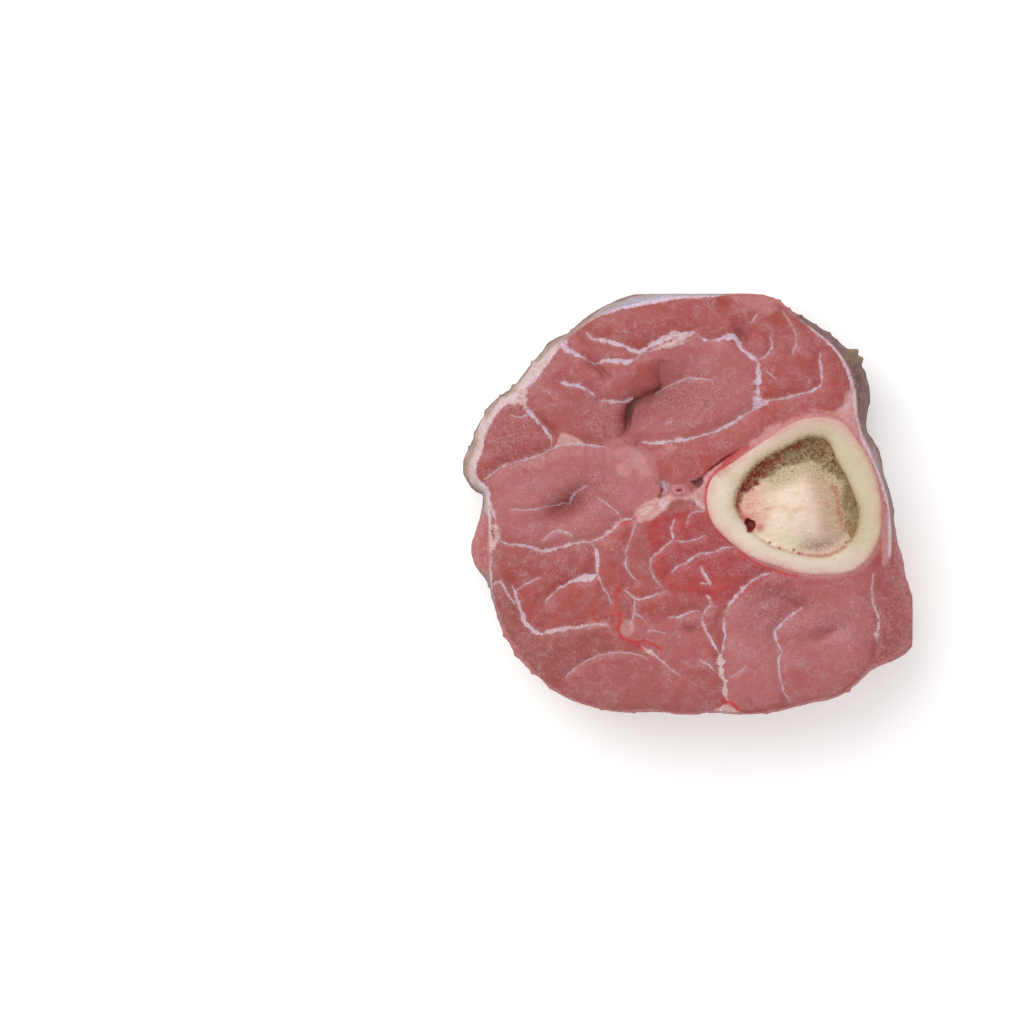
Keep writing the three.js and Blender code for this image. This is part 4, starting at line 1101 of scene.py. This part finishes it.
class Growth(Nodes):
    """A Geometry Nodes tree that grows small things on a mesh. Its sizes are named inputs, in metres."""

    def __init__(self, name, sizes):
        self.tree = bpy.data.node_groups.new(name, "GeometryNodeTree")
        self.keys = {}
        for end in ("INPUT", "OUTPUT"):
            self.tree.interface.new_socket("Geometry", in_out=end, socket_type="NodeSocketGeometry")
        for label, (kind, value) in sizes.items():
            item = self.tree.interface.new_socket(label, in_out="INPUT", socket_type="NodeSocket" + kind)
            item.default_value = value
            self.keys[label] = item.identifier
        self.inputs = self.tree.nodes.new("NodeGroupInput").outputs

    def add(self, kind, settings=None, values=None, output=0):
        """A new node's output."""
        return self.new_node(kind, settings, values).outputs[output]

    def vector(self, operation, first, second):
        key = "Scale" if operation == "SCALE" else 1
        return self.add("ShaderNodeVectorMath", {"operation": operation}, {0: first, key: second})

    def random_vector(self, low, high):
        values = {0: low, 1: high, "Seed": self.inputs["Seed"]}
        return self.add("FunctionNodeRandomValue", {"data_type": "FLOAT_VECTOR"}, values)

    def close(self, grown_mesh, material):
        """Ends the tree as one real mesh in its material."""
        real = self.add("GeometryNodeRealizeInstances", values={0: grown_mesh})
        coated = self.add("GeometryNodeSetMaterial", values={"Geometry": real, "Material": material})
        self.new_node("NodeGroupOutput", values={0: coated})
        return self

    def grow(self, name, bed, sizes):
        """What grows on a bed, as a plain mesh object. The bed is removed."""
        modifier = bed.modifiers.new(name, "NODES")
        modifier.node_group = self.tree
        for label, value in sizes.items():
            modifier[self.keys[label]] = value
        grown_bed = bed.evaluated_get(bpy.context.evaluated_depsgraph_get())
        piece = bpy.data.objects.new(name, bpy.data.meshes.new_from_object(grown_bed))
        bed.modifiers.remove(modifier)
        bpy.data.objects.remove(bed)
        bpy.context.collection.objects.link(piece)
        piece.data.shade_smooth()
        return piece


def grains(material):
    """Lumpy grains scattered over a surface, turned and sized at random."""
    tree = Growth("grains", {"Grain size": ("Float", 0.0002), "Per square metre": ("Float", 4e6),
                             "Seed": ("Int", 1)})
    full_turn = 6.28
    spread = {"Mesh": tree.inputs["Geometry"], "Density": tree.inputs["Per square metre"],
              "Seed": tree.inputs["Seed"]}
    ball = {"Radius": tree.inputs["Grain size"], "Subdivisions": 1}
    placed = {
        "Points": tree.add("GeometryNodeDistributePointsOnFaces", {"distribute_method": "RANDOM"}, spread),
        "Instance": tree.add("GeometryNodeMeshIcoSphere", values=ball),
        "Rotation": tree.random_vector((0, 0, 0), (full_turn, full_turn, full_turn)),
        "Scale": tree.random_vector((0.6, 0.6, 0.5), (1.3, 1.2, 1.1)),
    }
    return tree.close(tree.add("GeometryNodeInstanceOnPoints", values=placed), material)


def strands(material):
    """Thin strands that run along each path, a few to a path, and wander apart."""
    tree = Growth("strands", {"Strands": ("Int", 3), "Thickness": ("Float", 0.00005),
                              "Wander": ("Float", 0.0004), "Seed": ("Int", 1)})
    curve = tree.add("GeometryNodeMeshToCurve", values={"Mesh": tree.inputs["Geometry"]})
    copies = {"Geometry": curve, "Amount": tree.inputs["Strands"]}
    copied = tree.add("GeometryNodeDuplicateElements", {"domain": "SPLINE"}, copies)
    number = copied.node.outputs["Duplicate Index"]
    copy_distance = 0.0173
    waves_per_metre = 700
    apart = tree.add("ShaderNodeCombineXYZ", values={0: number, 1: number, 2: tree.inputs["Seed"]})
    apart = tree.vector("SCALE", apart, copy_distance)
    where = tree.vector("ADD", tree.add("GeometryNodeInputPosition"), apart)
    ripple = {"Vector": where, "Scale": waves_per_metre, "Detail": 2}
    waves = tree.add("ShaderNodeTexNoise", values=ripple, output="Color")
    waves = tree.vector("SUBTRACT", waves, (0.5, 0.5, 0.5))
    waves = tree.vector("MULTIPLY", waves, (4, 4, 0.3))
    sway = tree.vector("SCALE", waves, tree.inputs["Wander"])
    swayed = tree.add("GeometryNodeSetPosition", values={"Geometry": copied, "Offset": sway})
    wire = {"Resolution": 4, "Radius": tree.inputs["Thickness"]}
    wires = {"Curve": swayed, "Profile Curve": tree.add("GeometryNodeCurvePrimitiveCircle", values=wire),
             "Fill Caps": True}
    return tree.close(tree.add("GeometryNodeCurveToMesh", values=wires), material)


def seam_lines():
    """The seams as they lie on the cut face: points with heights, width at each end and how broken."""
    lines = [smooth_path(path, 0.3) for *_, path in SEAMS]
    spots = np.vstack(lines)
    spots = spots - np.column_stack(stray(*spots.T))
    spots = np.column_stack([spots, THICKNESS + Surface(*spots.T).height])
    parts = np.split(spots, np.cumsum([len(line) for line in lines])[:-1])
    return [(part, start, end, broken) for part, (start, end, _, _, broken, _) in zip(parts, SEAMS)]


def make_seam_strands(lines):
    """Fine threads of tissue that fray out of the seams."""
    points, edges = [], []
    for line, *_ in lines:
        start = sum(map(len, points))
        points.append(line)
        edges += [(start + i, start + i + 1) for i in range(len(line) - 1)]
    bed = new_piece("strand_paths", np.vstack(points), np.empty((0, 3), int), edges=edges)
    sizes = {"Strands": 4, "Wander": 0.0004, "Thickness": 0.00003}
    finish_piece(strands(white_tissue("seam_tissue")).grow("seam_strands", bed, sizes))


def make_fat_grains(lines):
    """Grains of fat along the seams that look crumbled."""
    points, faces = [], []
    for line, width, end_width, broken in lines:
        if broken < 0.2:
            continue
        start = sum(map(len, points))
        half = np.linspace(width, end_width, len(line))[:, None] * 0.5
        ahead = np.gradient(line[:, :2], axis=0)
        side = np.column_stack([-ahead[:, 1], ahead[:, 0]]) / np.linalg.norm(ahead, axis=1)[:, None]
        for edge in (-1, 1):
            points.append(np.column_stack([line[:, :2] + edge * half * side, line[:, 2] - 0.02]))
        left = start + np.arange(len(line) - 1)
        right = left + len(line)
        faces += [np.column_stack([right, left, left + 1]), np.column_stack([right, left + 1, right + 1])]
    bed = new_piece("grain_bed", np.vstack(points), np.vstack(faces))
    sizes = {"Grain size": 0.00009, "Per square metre": 6e6}
    finish_piece(grains(white_tissue("fat_grain")).grow("fat_grains", bed, sizes))


def make_bone_crumbs():
    """Crumbs of the honeycomb that stand up between the pores of the spongy bone."""
    loop = resample(crescent(grown(bone_inner, -0.3), grown(marrow_edge, -0.6)), 260)
    spots, faces = triangulate([loop], clear_of(scatter_grid(loop, 0.5), [loop], 0.3))
    height, masks = core(*spots.T)
    wanted = (masks["spongy"] * (1 - masks["gel"]))[faces].mean(axis=1) > 0.6
    bed = new_piece("crumb_bed", np.column_stack([spots, height]), faces[wanted])
    sizes = {"Grain size": 0.00017, "Per square metre": 2.5e6, "Seed": 4}
    finish_piece(grains(bone_crumb()).grow("bone_crumbs", bed, sizes))


class Field:
    """One value or colour in a material's nodes. Plain arithmetic on it adds Math nodes."""

    def __init__(self, finish, socket):
        self.finish, self.socket = finish, socket

    def math(self, operation, *others, clamp=False):
        values = dict(enumerate((self, *others)))
        return self.finish.add("Math", {"operation": operation, "use_clamp": clamp}, values)

    def __add__(self, other):
        return self.math("ADD", other)

    def __sub__(self, other):
        return self.math("SUBTRACT", other)

    def __rsub__(self, other):
        return self.finish.add("Math", {"operation": "SUBTRACT"}, {0: other, 1: self})

    def __mul__(self, other):
        return self.math("MULTIPLY", other)

    def __abs__(self):
        return self.math("ABSOLUTE")

    __radd__ = __add__
    __rmul__ = __mul__

    def clamped(self):
        return self.math("ADD", 0.0, clamp=True)

    def swing(self, amount):
        """How far a noise is from its middle, times an amount."""
        return (self - 0.5) * amount

    def ramp(self, low, high):
        """0 at low, 1 at high, smooth between them."""
        return self.finish.add("MapRange", {"interpolation_type": "SMOOTHSTEP"}, {0: self, 1: low, 2: high})


def colour(red, green, blue):
    """A colour given as it looks on a screen, from 0 to 255."""
    parts = [part / 255 for part in (red, green, blue)]
    return tuple(c / 12.92 if c < 0.04045 else ((c + 0.055) / 1.055) ** 2.4 for c in parts) + (1.0,)


class Finish(Nodes):
    """A material built from nodes, on millimetre coordinates of the piece."""
    prefix = "ShaderNode"

    def __init__(self, name, constants):
        self.material = bpy.data.materials.new(name)
        self.material.use_nodes = True
        self.tree = self.material.node_tree
        self.shader = self.tree.nodes["Principled BSDF"]
        for socket, value in constants.items():
            self.shader.inputs[socket].default_value = value
        place = self.add("TexCoord", output="Object")
        self.place = self.add("VectorMath", {"operation": "SCALE"}, {0: place, "Scale": 1 / MM})

    def add(self, kind, settings=None, values=None, output=0):
        """A new node's output, ready for arithmetic."""
        return Field(self, self.new_node(kind, settings, values).outputs[output])

    def masks(self, names):
        """The masks of the mesh, by their names."""
        return SimpleNamespace(**{name: self.add("Attribute", {"attribute_name": name}, output="Fac")
                                  for name in names.split()})

    def noise(self, size, detail=2.0, roughness=0.5, distortion=0.0, place=None, output=0):
        values = {"Vector": place or self.place, "Scale": 1 / size, "Detail": detail,
                  "Roughness": roughness, "Distortion": distortion}
        return self.add("TexNoise", values=values, output=output)

    def drawn_out(self, scale, turn=0):
        """Coordinates turned and drawn out along an axis, for streaks and fibres."""
        values = {"Vector": self.place, "Rotation": (0, 0, math.radians(-turn)), "Scale": scale}
        return self.add("Mapping", {"vector_type": "POINT"}, values)

    def bent(self, amount, size):
        """Coordinates shaken by a noise, so that what is drawn on them wanders."""
        shake = self.noise(size, output="Color")
        shake = self.add("VectorMath", {"operation": "SCALE"}, {0: shake, "Scale": amount})
        return self.add("VectorMath", {"operation": "ADD"}, {0: self.place, 1: shake})

    def threads(self, size, width, distortion, place):
        """Thin curly lines: 1 on them, 0 between."""
        return 1 - abs(self.noise(size, 1.5, 0.5, distortion, place) - 0.5).ramp(0.0, width)

    def mix(self, first, second, share):
        """Two colours mixed, the second by its share, which the node keeps from 0 to 1."""
        first, second = (part if isinstance(part, Field) else colour(*part) for part in (first, second))
        return self.add("Mix", {"data_type": "RGBA"}, {0: share, 6: first, 7: second}, output=2)

    def layered(self, base, *layers):
        """Colours laid over a first one, each by its share."""
        for tint, share in layers:
            base = self.mix(base, tint, share)
        return base

    def relief(self, height, size):
        """A bump with its full height in millimetres."""
        values = {"Height": height, "Distance": size * MM, "Strength": 1.0}
        self.feed(self.shader.inputs["Normal"], self.add("Bump", values=values))

    def surface(self, base, roughness=None):
        self.feed(self.shader.inputs["Base Color"], base)
        if roughness is not None:
            self.feed(self.shader.inputs["Roughness"], roughness)
        return self.material


def flesh():
    """Cut muscle, its seams and fat on the faces, with painted shade in its hollows, folds and creases, and
    silverskin or bare muscle on the side.
    """
    f = Finish("flesh", {"Roughness": 0.42, "IOR": 1.4, "Coat Roughness": 0.25,
                         "Subsurface Weight": 0.08, "Subsurface Scale": 0.002})
    m = f.masks("tone brown dark seam cream halo pink blood coarse grey film skin pale bare low")
    m.cloud, m.blot, m.grain = f.noise(5.0, 3, 0.55), f.noise(1.7, 3, 0.6, 0.4), f.noise(0.45, 3, 0.65)
    m.bent = f.bent(1.2, 1.2)
    m.clumps = f.noise(3.2, 4, 0.65, 0.6).ramp(0.42, 0.64)
    m.fibres = curly_fibres(f, m)
    muscle = cut_muscle(f, m)
    tissue, cover = white_seams(f, m)
    face = f.layered(
        muscle,
        (tissue, cover * (m.seam.ramp(0.5, 0.9) * 0.4 + 0.56)),
        ((198, 40, 46), m.blood.ramp(0.5, 1.0) * (0.74 + m.grain.swing(0.9))),
        # Painted shade from the dark mask: red-brown in hollows, folds and creases, and near-black brown
        # where they are deepest.
        ((120, 48, 42), m.dark * 1.1),
        ((70, 44, 32), (m.dark * 1.6 - 0.75).clamped() * 0.85),
    )
    f.relief(m.grain * 0.5 + m.blot * 0.35 + m.fibres * 0.15 + cover * m.grain.swing(0.5), 0.15)
    f.feed(f.shader.inputs["Coat Weight"], 0.12 - m.skin * 0.12)
    roughness = 0.48 - cover * 0.08 + m.blot.swing(0.3) - m.coarse * 0.05 + m.skin * 0.34
    return f.surface(f.mix(face, meat_side(f, m, muscle), m.skin), roughness.clamped())


def curly_fibres(f, m):
    """Pale curly fibres in the cut muscle, and the edges of its bundles."""
    edges = f.add("TexVoronoi", {"feature": "DISTANCE_TO_EDGE"}, {"Vector": m.bent, "Scale": 1 / 2.4},
                  output="Distance")
    bundles = (1 - edges.ramp(0.0, 0.05)) * m.clumps
    long_curls, short_curls, fine_curls = (
        f.threads(size, width, distortion, m.bent)
        for size, width, distortion in ((2.0, 0.035, 1.6), (0.8, 0.075, 1.3), (0.5, 0.08, 1.0)))
    return (short_curls * (m.clumps * 0.34 + m.coarse * 0.3 + 0.08) + long_curls * (m.clumps * 0.4 + 0.1)
            + fine_curls * (m.clumps * 0.32 + m.coarse * 0.42) + bundles * 0.2)


def cut_muscle(f, m):
    """Red muscle in its tones, with pink fat, blood, coarse dark spots and whitish film."""
    shade = m.tone + m.cloud.swing(0.7) + m.blot.swing(0.5) + m.grain.swing(0.3 + m.coarse * 0.6) - 0.1
    haze = f.noise(2.6, 5, 0.72, 1.2, m.bent).ramp(0.5, 0.72)
    paler = m.fibres * (0.85 - (m.brown * -0.3).clamped()) + m.halo * 0.2 + haze * 0.16
    # Pale fibres and film fade where there is painted shade.
    paler = (paler + m.film * (0.3 + haze * 0.8)) * (1 - m.dark.ramp(0.0, 0.4) * 0.7)
    return f.layered(
        f.mix((171, 66, 58), (192, 112, 113), shade),
        ((188, 92, 80), f.noise(6.5, 3, 0.6).ramp(0.5, 0.7) * 0.4),
        ((150, 84, 74), m.brown * 0.55 + m.cloud.swing(0.5)),
        ((184, 52, 56), m.brown * -0.8),
        ((226, 170, 166), m.pink * (0.9 + m.blot.swing(1.6) + m.grain.swing(0.9))),
        ((200, 52, 54), m.blood * (0.85 + m.grain.swing(1.3))),
        ((142, 54, 46), (m.coarse * 0.85 + m.clumps * 0.2) * m.grain.ramp(0.56, 0.38)),
        ((178, 144, 146), m.grey * (0.85 + m.grain.swing(1.2))),
        ((208, 158, 166), paler * 0.8),
    )


def white_seams(f, m):
    """The tissue of the seams, and how far it covers the muscle."""
    tissue = f.layered(
        f.mix((216, 192, 214), (230, 192, 178), m.cream),
        ((208, 146, 152), m.blot.ramp(0.47, 0.66) * 0.7),
        ((244, 230, 240), m.grain.ramp(0.5, 0.64) * 0.65),
    )
    feather = f.noise(0.3, 2, 0.7, 0.6, m.bent)
    ragged = m.seam + m.grain.swing(0.8) + m.blot.swing(0.45) + feather.swing(0.7) + m.fibres * 0.2
    return tissue, ragged.ramp(0.46, 0.68) * m.seam.ramp(0.1, 0.42)


def meat_side(f, m, muscle):
    """Silverskin that is browner lower down, partly stain and partly painted shade, and bare muscle where it
    is off.
    """
    creased = f.noise(1.1, 4, 0.65, 1.0, m.bent)
    fibre = f.noise(0.8, 3, 0.6, 0.2, f.drawn_out((1, 1, 1 / 9)))
    shaken = m.low + m.cloud.swing(0.5) + m.blot.swing(0.3)
    # Browner and darker lower down the side: partly stain, partly painted shade.
    lower_stain_and_shade = shaken.ramp(0.06, 0.4) * (1 - (shaken + creased.swing(0.6)).ramp(0.5, 0.8) * 0.6)
    # Darkest brown round the widest part of the side: partly stain, partly painted shade.
    deep_stain_and_shade = m.low.ramp(0.2, 0.4) * m.low.ramp(0.8, 0.6) * (m.pale.ramp(0.5, 0.1) * 0.45 + 0.25)
    stain_and_shade_colour = f.mix((108, 80, 70), (156, 124, 112), (creased + fibre.swing(0.4)).ramp(0.36, 0.66))
    stain_and_shade_colour = f.mix(stain_and_shade_colour, (74, 50, 42), deep_stain_and_shade)
    covered = f.layered(silverskin(f, m, creased), (stain_and_shade_colour, lower_stain_and_shade * 0.9), ((140, 120, 90), m.film * 0.85))
    laid_open = f.layered(
        muscle,
        ((202, 136, 132), fibre.ramp(0.48, 0.34) * 0.5 + m.low.ramp(0.01, 0.2) * 0.15),
        ((140, 62, 54), fibre.ramp(0.52, 0.68) * 0.5),
        # Browner lower down on bare muscle too: partly stain, partly painted shade.
        ((122, 80, 66), shaken.ramp(0.2, 0.75) * 0.6),
    )
    return f.mix(covered, laid_open, (m.bare + m.cloud.swing(0.8) + m.blot.swing(0.5)).ramp(0.3, 0.7))


def silverskin(f, m, creased):
    """Thin brownish skin, and the paler, thicker kind over it."""
    silver = f.layered(
        f.mix((172, 172, 190), (216, 190, 184), m.cream + m.blot.swing(0.8)),
        ((214, 204, 220), creased.ramp(0.5, 0.36) * m.low.ramp(0.4, 0.1) * 0.7),
        ((180, 140, 136), creased.ramp(0.52, 0.64) * 0.6),
        ((164, 136, 118), m.low.ramp(0.0, 0.1) * m.cloud.ramp(0.35, 0.6) * 0.85),
    )
    return f.layered(
        f.mix((110, 70, 62), (138, 100, 98), f.noise(2.2, 4, 0.6).ramp(0.35, 0.65)),
        ((160, 142, 160), creased.ramp(0.5, 0.64) * m.low.ramp(0.1, 0.0) * 0.8),
        # Darker brown further down the thin skin: partly stain, partly painted shade.
        ((84, 46, 40), m.low.ramp(0.2, 0.45) * 0.8),
        (silver, m.pale * (1.0 + m.cloud.swing(0.8))),
    )


def sawn_bone():
    """Cream bone with saw marks, pinkish at its outer edge and porous and bloody at its inner one."""
    f = Finish("sawn_bone", {"IOR": 1.45, "Subsurface Weight": 0.12, "Subsurface Scale": 0.0015})
    m = f.masks("inner outer edge_red bloody hole")
    across, along = (f.add("SeparateXYZ", values={0: f.place}, output=axis) for axis in "XY")
    cloud, fine, grit = f.noise(4.5, 3, 0.55), f.noise(0.45, 3, 0.6), f.noise(0.7, 3, 0.65)
    saw = f.noise(0.5, 2, 0.5, place=f.drawn_out((1 / 30, 1, 1), 12))
    pore = f.mix((120, 88, 58), (138, 48, 42), m.bloody)
    base = f.layered(
        f.mix((240, 222, 202), (220, 206, 174), across.ramp(10, 40)),
        ((222, 194, 182), along.ramp(12, 20) * 0.75),
        ((234, 214, 202), along.ramp(-8, -16) * 0.8),
        ((212, 194, 158), cloud.ramp(0.45, 0.75) * 0.4),
        ((214, 192, 164), fine.ramp(0.52, 0.72) * 0.5),
        ((248, 238, 224), fine.ramp(0.45, 0.3) * 0.35),
        ((186, 156, 116), m.inner * 1.15 - 0.12 + m.inner * grit.swing(1.4)),
        (pore, m.inner.ramp(0.4, 0.95) * grit.ramp(0.5, 0.62) * 0.8),
        ((186, 76, 62), m.edge_red * (0.5 + grit.swing(2))),
        ((216, 138, 130), m.outer * (0.75 + cloud.swing(1.6) + fine.swing(1.2))),
        ((140, 44, 38), m.hole),
    )
    f.relief(fine * 0.4 + saw * 0.5 + grit * m.inner, 0.1)
    return f.surface(base, 0.42 + cloud.swing(0.2))


def ring_filling(name):
    """Marrow and spongy bone, told apart by their masks and not by a line."""
    f = Finish(name, {"IOR": 1.42, "Coat Weight": 0.1, "Coat Roughness": 0.3,
                      "Subsurface Weight": 0.1, "Subsurface Scale": 0.0015})
    m = f.masks("spongy pore gel bloody edge_red streak murky tan dull hole lip yellow shine pits ochre"
                " milky")
    m.cloud, m.fine, m.grit = f.noise(3.2, 3, 0.55), f.noise(0.42, 3, 0.65), f.noise(0.7, 3, 0.65)
    m.blot, m.speckle = f.noise(1.3, 2, 0.6), f.noise(0.36, 2, 0.6)
    m.fibre = f.noise(0.6, 3, 0.6, place=f.drawn_out((1 / 7, 1, 1), 18))
    honeycomb_share = m.spongy * 2.0 - 0.35 + m.grit.swing(1.8) + m.blot.swing(0.8)
    base = f.layered(
        marrow_fat(f, m),
        (honeycomb(f, m), honeycomb_share.ramp(0.0, 1.0)),
        ((178, 56, 48), m.edge_red * (0.7 + m.grit.swing(2))),
        ((206, 112, 100), m.lip * 0.8),
        ((140, 44, 38), m.hole),
    )
    f.relief(m.fine * 0.5 + m.fibre * 0.3 + m.grit * m.spongy * 0.6, 0.2)
    gloss = m.shine * m.fine.ramp(0.5, 0.6) * 0.3
    return f.surface(base, (0.44 + m.cloud.swing(0.2) - gloss).clamped())


def marrow_fat(f, m):
    """Pink-cream fat with fibres, streaks of blood and darker crumbled edges."""
    return f.layered(
        f.mix((250, 226, 204), (234, 210, 184), m.cloud.ramp(0.4, 0.7) * 0.8),
        ((255, 244, 224), m.fibre.ramp(0.5, 0.75) * 0.7),
        ((238, 186, 170), m.fibre.ramp(0.46, 0.3) * 0.4),
        ((198, 158, 138), m.dull * (0.75 + m.fibre.swing(1.6))),
        ((238, 226, 194), m.yellow),
        ((214, 108, 98), m.streak * (0.7 + m.fibre.swing(1.4) + m.fine.swing(0.8))),
        ((196, 168, 130), m.tan * (0.95 + m.grit.swing(1.8))),
        ((230, 216, 188), m.tan * m.speckle.ramp(0.52, 0.62) * 0.8),
        ((126, 96, 64), m.tan * m.fine.ramp(0.57, 0.66) * 0.8),
        ((168, 134, 112), m.murky * (0.8 + m.grit.swing(1.4) + m.speckle.swing(1.4))),
        # Painted glints: near-white specks on the shiny spot of the marrow.
        ((250, 248, 240), m.shine * m.speckle.ramp(0.58, 0.66)),
        ((120, 52, 34), m.pits * 1.2 - 0.2),
    )


def honeycomb(f, m):
    """Spongy bone, darker deep inside and between its walls, with a smooth brown jelly at one end."""
    deep = (m.spongy + m.cloud.swing(0.5)).ramp(0.35, 0.95)
    jelly = f.mix((160, 138, 104), (134, 100, 58), (m.blot + m.grit.swing(0.6)).ramp(0.4, 0.62))
    dark = f.mix((96, 60, 38), (136, 24, 28), m.bloody * 1.6 + m.cloud.swing(1))
    specks = m.pore * 0.45 + m.grit.ramp(0.5, 0.62) * 0.6 + m.fine.ramp(0.5, 0.62) * 0.45
    return f.layered(
        f.mix((206, 184, 148), (160, 130, 92), deep * m.cloud.ramp(0.3, 0.6) + deep * 0.3),
        (jelly, m.gel * 0.85),
        ((168, 122, 62), m.ochre * (0.5 + m.grit.swing(1.4))),
        ((214, 192, 150), m.speckle.ramp(0.55, 0.7) * (0.6 - m.gel * 0.35)),
        (dark, specks * (1 - m.gel * 0.6) * (0.2 + deep * 0.7 + m.bloody * 0.5)),
        ((138, 26, 28), m.bloody * m.blot.ramp(0.44, 0.56) * 1.2),
        ((176, 160, 130), m.milky * 0.75),
    )


def vessel():
    """Pink rings round a red bore."""
    f = Finish("vessel", {"Roughness": 0.4, "IOR": 1.4})
    out = f.masks("out").out
    rings = f.noise(0.9, 3).swing(0.7) + out
    base = f.layered(
        f.mix((194, 110, 112), (206, 138, 144), rings.ramp(0.4, 0.6)),
        ((188, 104, 108), rings.ramp(0.6, 0.76)),
        ((206, 136, 142), rings.ramp(0.8, 0.96)),
        ((158, 52, 46), 1 - out.ramp(0.12, 0.3)),
    )
    f.relief(f.noise(0.4, 2), 0.1)
    return f.surface(base)


def nerve():
    f = Finish("nerve", {"Roughness": 0.4, "IOR": 1.4})
    cloud = f.noise(1.2, 3)
    base = f.mix((224, 184, 172), (212, 160, 150), cloud.ramp(0.4, 0.7))
    base = f.mix(base, (216, 150, 146), (f.masks("out").out + cloud.swing(0.5)).ramp(0.66, 0.95))
    f.relief(f.noise(0.5, 2), 0.1)
    return f.surface(base)


def white_tissue(name):
    f = Finish(name, {"Roughness": 0.4, "IOR": 1.4})
    return f.surface(f.mix((222, 204, 218), (226, 184, 182), f.noise(1.6, 3, 0.6).ramp(0.4, 0.65)))


def bone_crumb():
    f = Finish("bone_crumb", {"Roughness": 0.5, "IOR": 1.45})
    return f.surface(f.mix((206, 184, 142), (134, 100, 66), f.noise(0.5, 2, 0.6).ramp(0.38, 0.58)))


def make_stage():
    make_floor()
    make_light()
    make_camera()


def make_floor():
    """A pale floor that glows a little, so that it stays white."""
    bpy.ops.mesh.primitive_plane_add(size=4.0, location=(0, 0, 0))
    floor = bpy.context.object
    floor.name = "floor"
    f = Finish("pale_floor", {"Roughness": 0.9, "Emission Color": (1, 1, 1, 1), "Emission Strength": 0.34})
    floor.data.materials.append(f.surface(f.mix((252, 252, 252), (250, 250, 250), f.noise(40))))


def make_light():
    """An even white room and a soft window, behind on the left."""
    world = bpy.data.worlds.new("soft_room")
    bpy.context.scene.world = world
    world.use_nodes = True
    sky = world.node_tree.nodes["Background"]
    sky.inputs["Color"].default_value = (1.0, 1.0, 1.0, 1)
    sky.inputs["Strength"].default_value = 0.58
    light = bpy.data.lights.new("window", "AREA")
    light.shape = "DISK"
    light.size = 1.1
    light.energy = 7
    lamp = bpy.data.objects.new("window", light)
    lamp.location = (-0.45, 0.55, 0.95)
    lamp.rotation_euler = (-lamp.location).to_track_quat("-Z", "Y").to_euler()
    bpy.context.collection.objects.link(lamp)
    bpy.context.scene.view_settings.view_transform = "Standard"


def make_camera():
    """A long lens high above the slice, turned so that the slice stands at the right of the picture."""
    camera = bpy.data.cameras.new("camera")
    camera.sensor_width = 36
    camera.lens = 400
    photo_width = 1024
    pixels_per_mm = 4.25
    slice_middle = (691.0, 503.2)
    half_frame = 0.5 * photo_width / pixels_per_mm * MM  # in metres, at the cut face
    height = THICKNESS * MM + half_frame * camera.lens / (camera.sensor_width / 2)
    frame_middle = photo_width / 2
    aim_mm = np.array([frame_middle - slice_middle[0], slice_middle[1] - frame_middle]) / pixels_per_mm
    aim = Vector((*((aim_mm + shift) * MM), THICKNESS * MM))
    eye = bpy.data.objects.new("camera", camera)
    eye.location = (0, 0, height)
    back = (eye.location - aim).normalized()
    right = Vector((0, 1, 0)).cross(back).normalized()
    eye.rotation_euler = Matrix((right, back.cross(right), back)).transposed().to_euler()
    bpy.context.collection.objects.link(eye)
    bpy.context.scene.camera = eye


make_stage()
make_meat()
make_bone()
make_spongy_bone()
make_marrow()
make_cord("artery_tube", ARTERY, ARTERY_BORE, "artery", vessel())
make_cord("nerve_cord", NERVE, None, "nerve", nerve())
found_seams = seam_lines()
make_seam_strands(found_seams)
make_fat_grains(found_seams)
make_bone_crumbs()
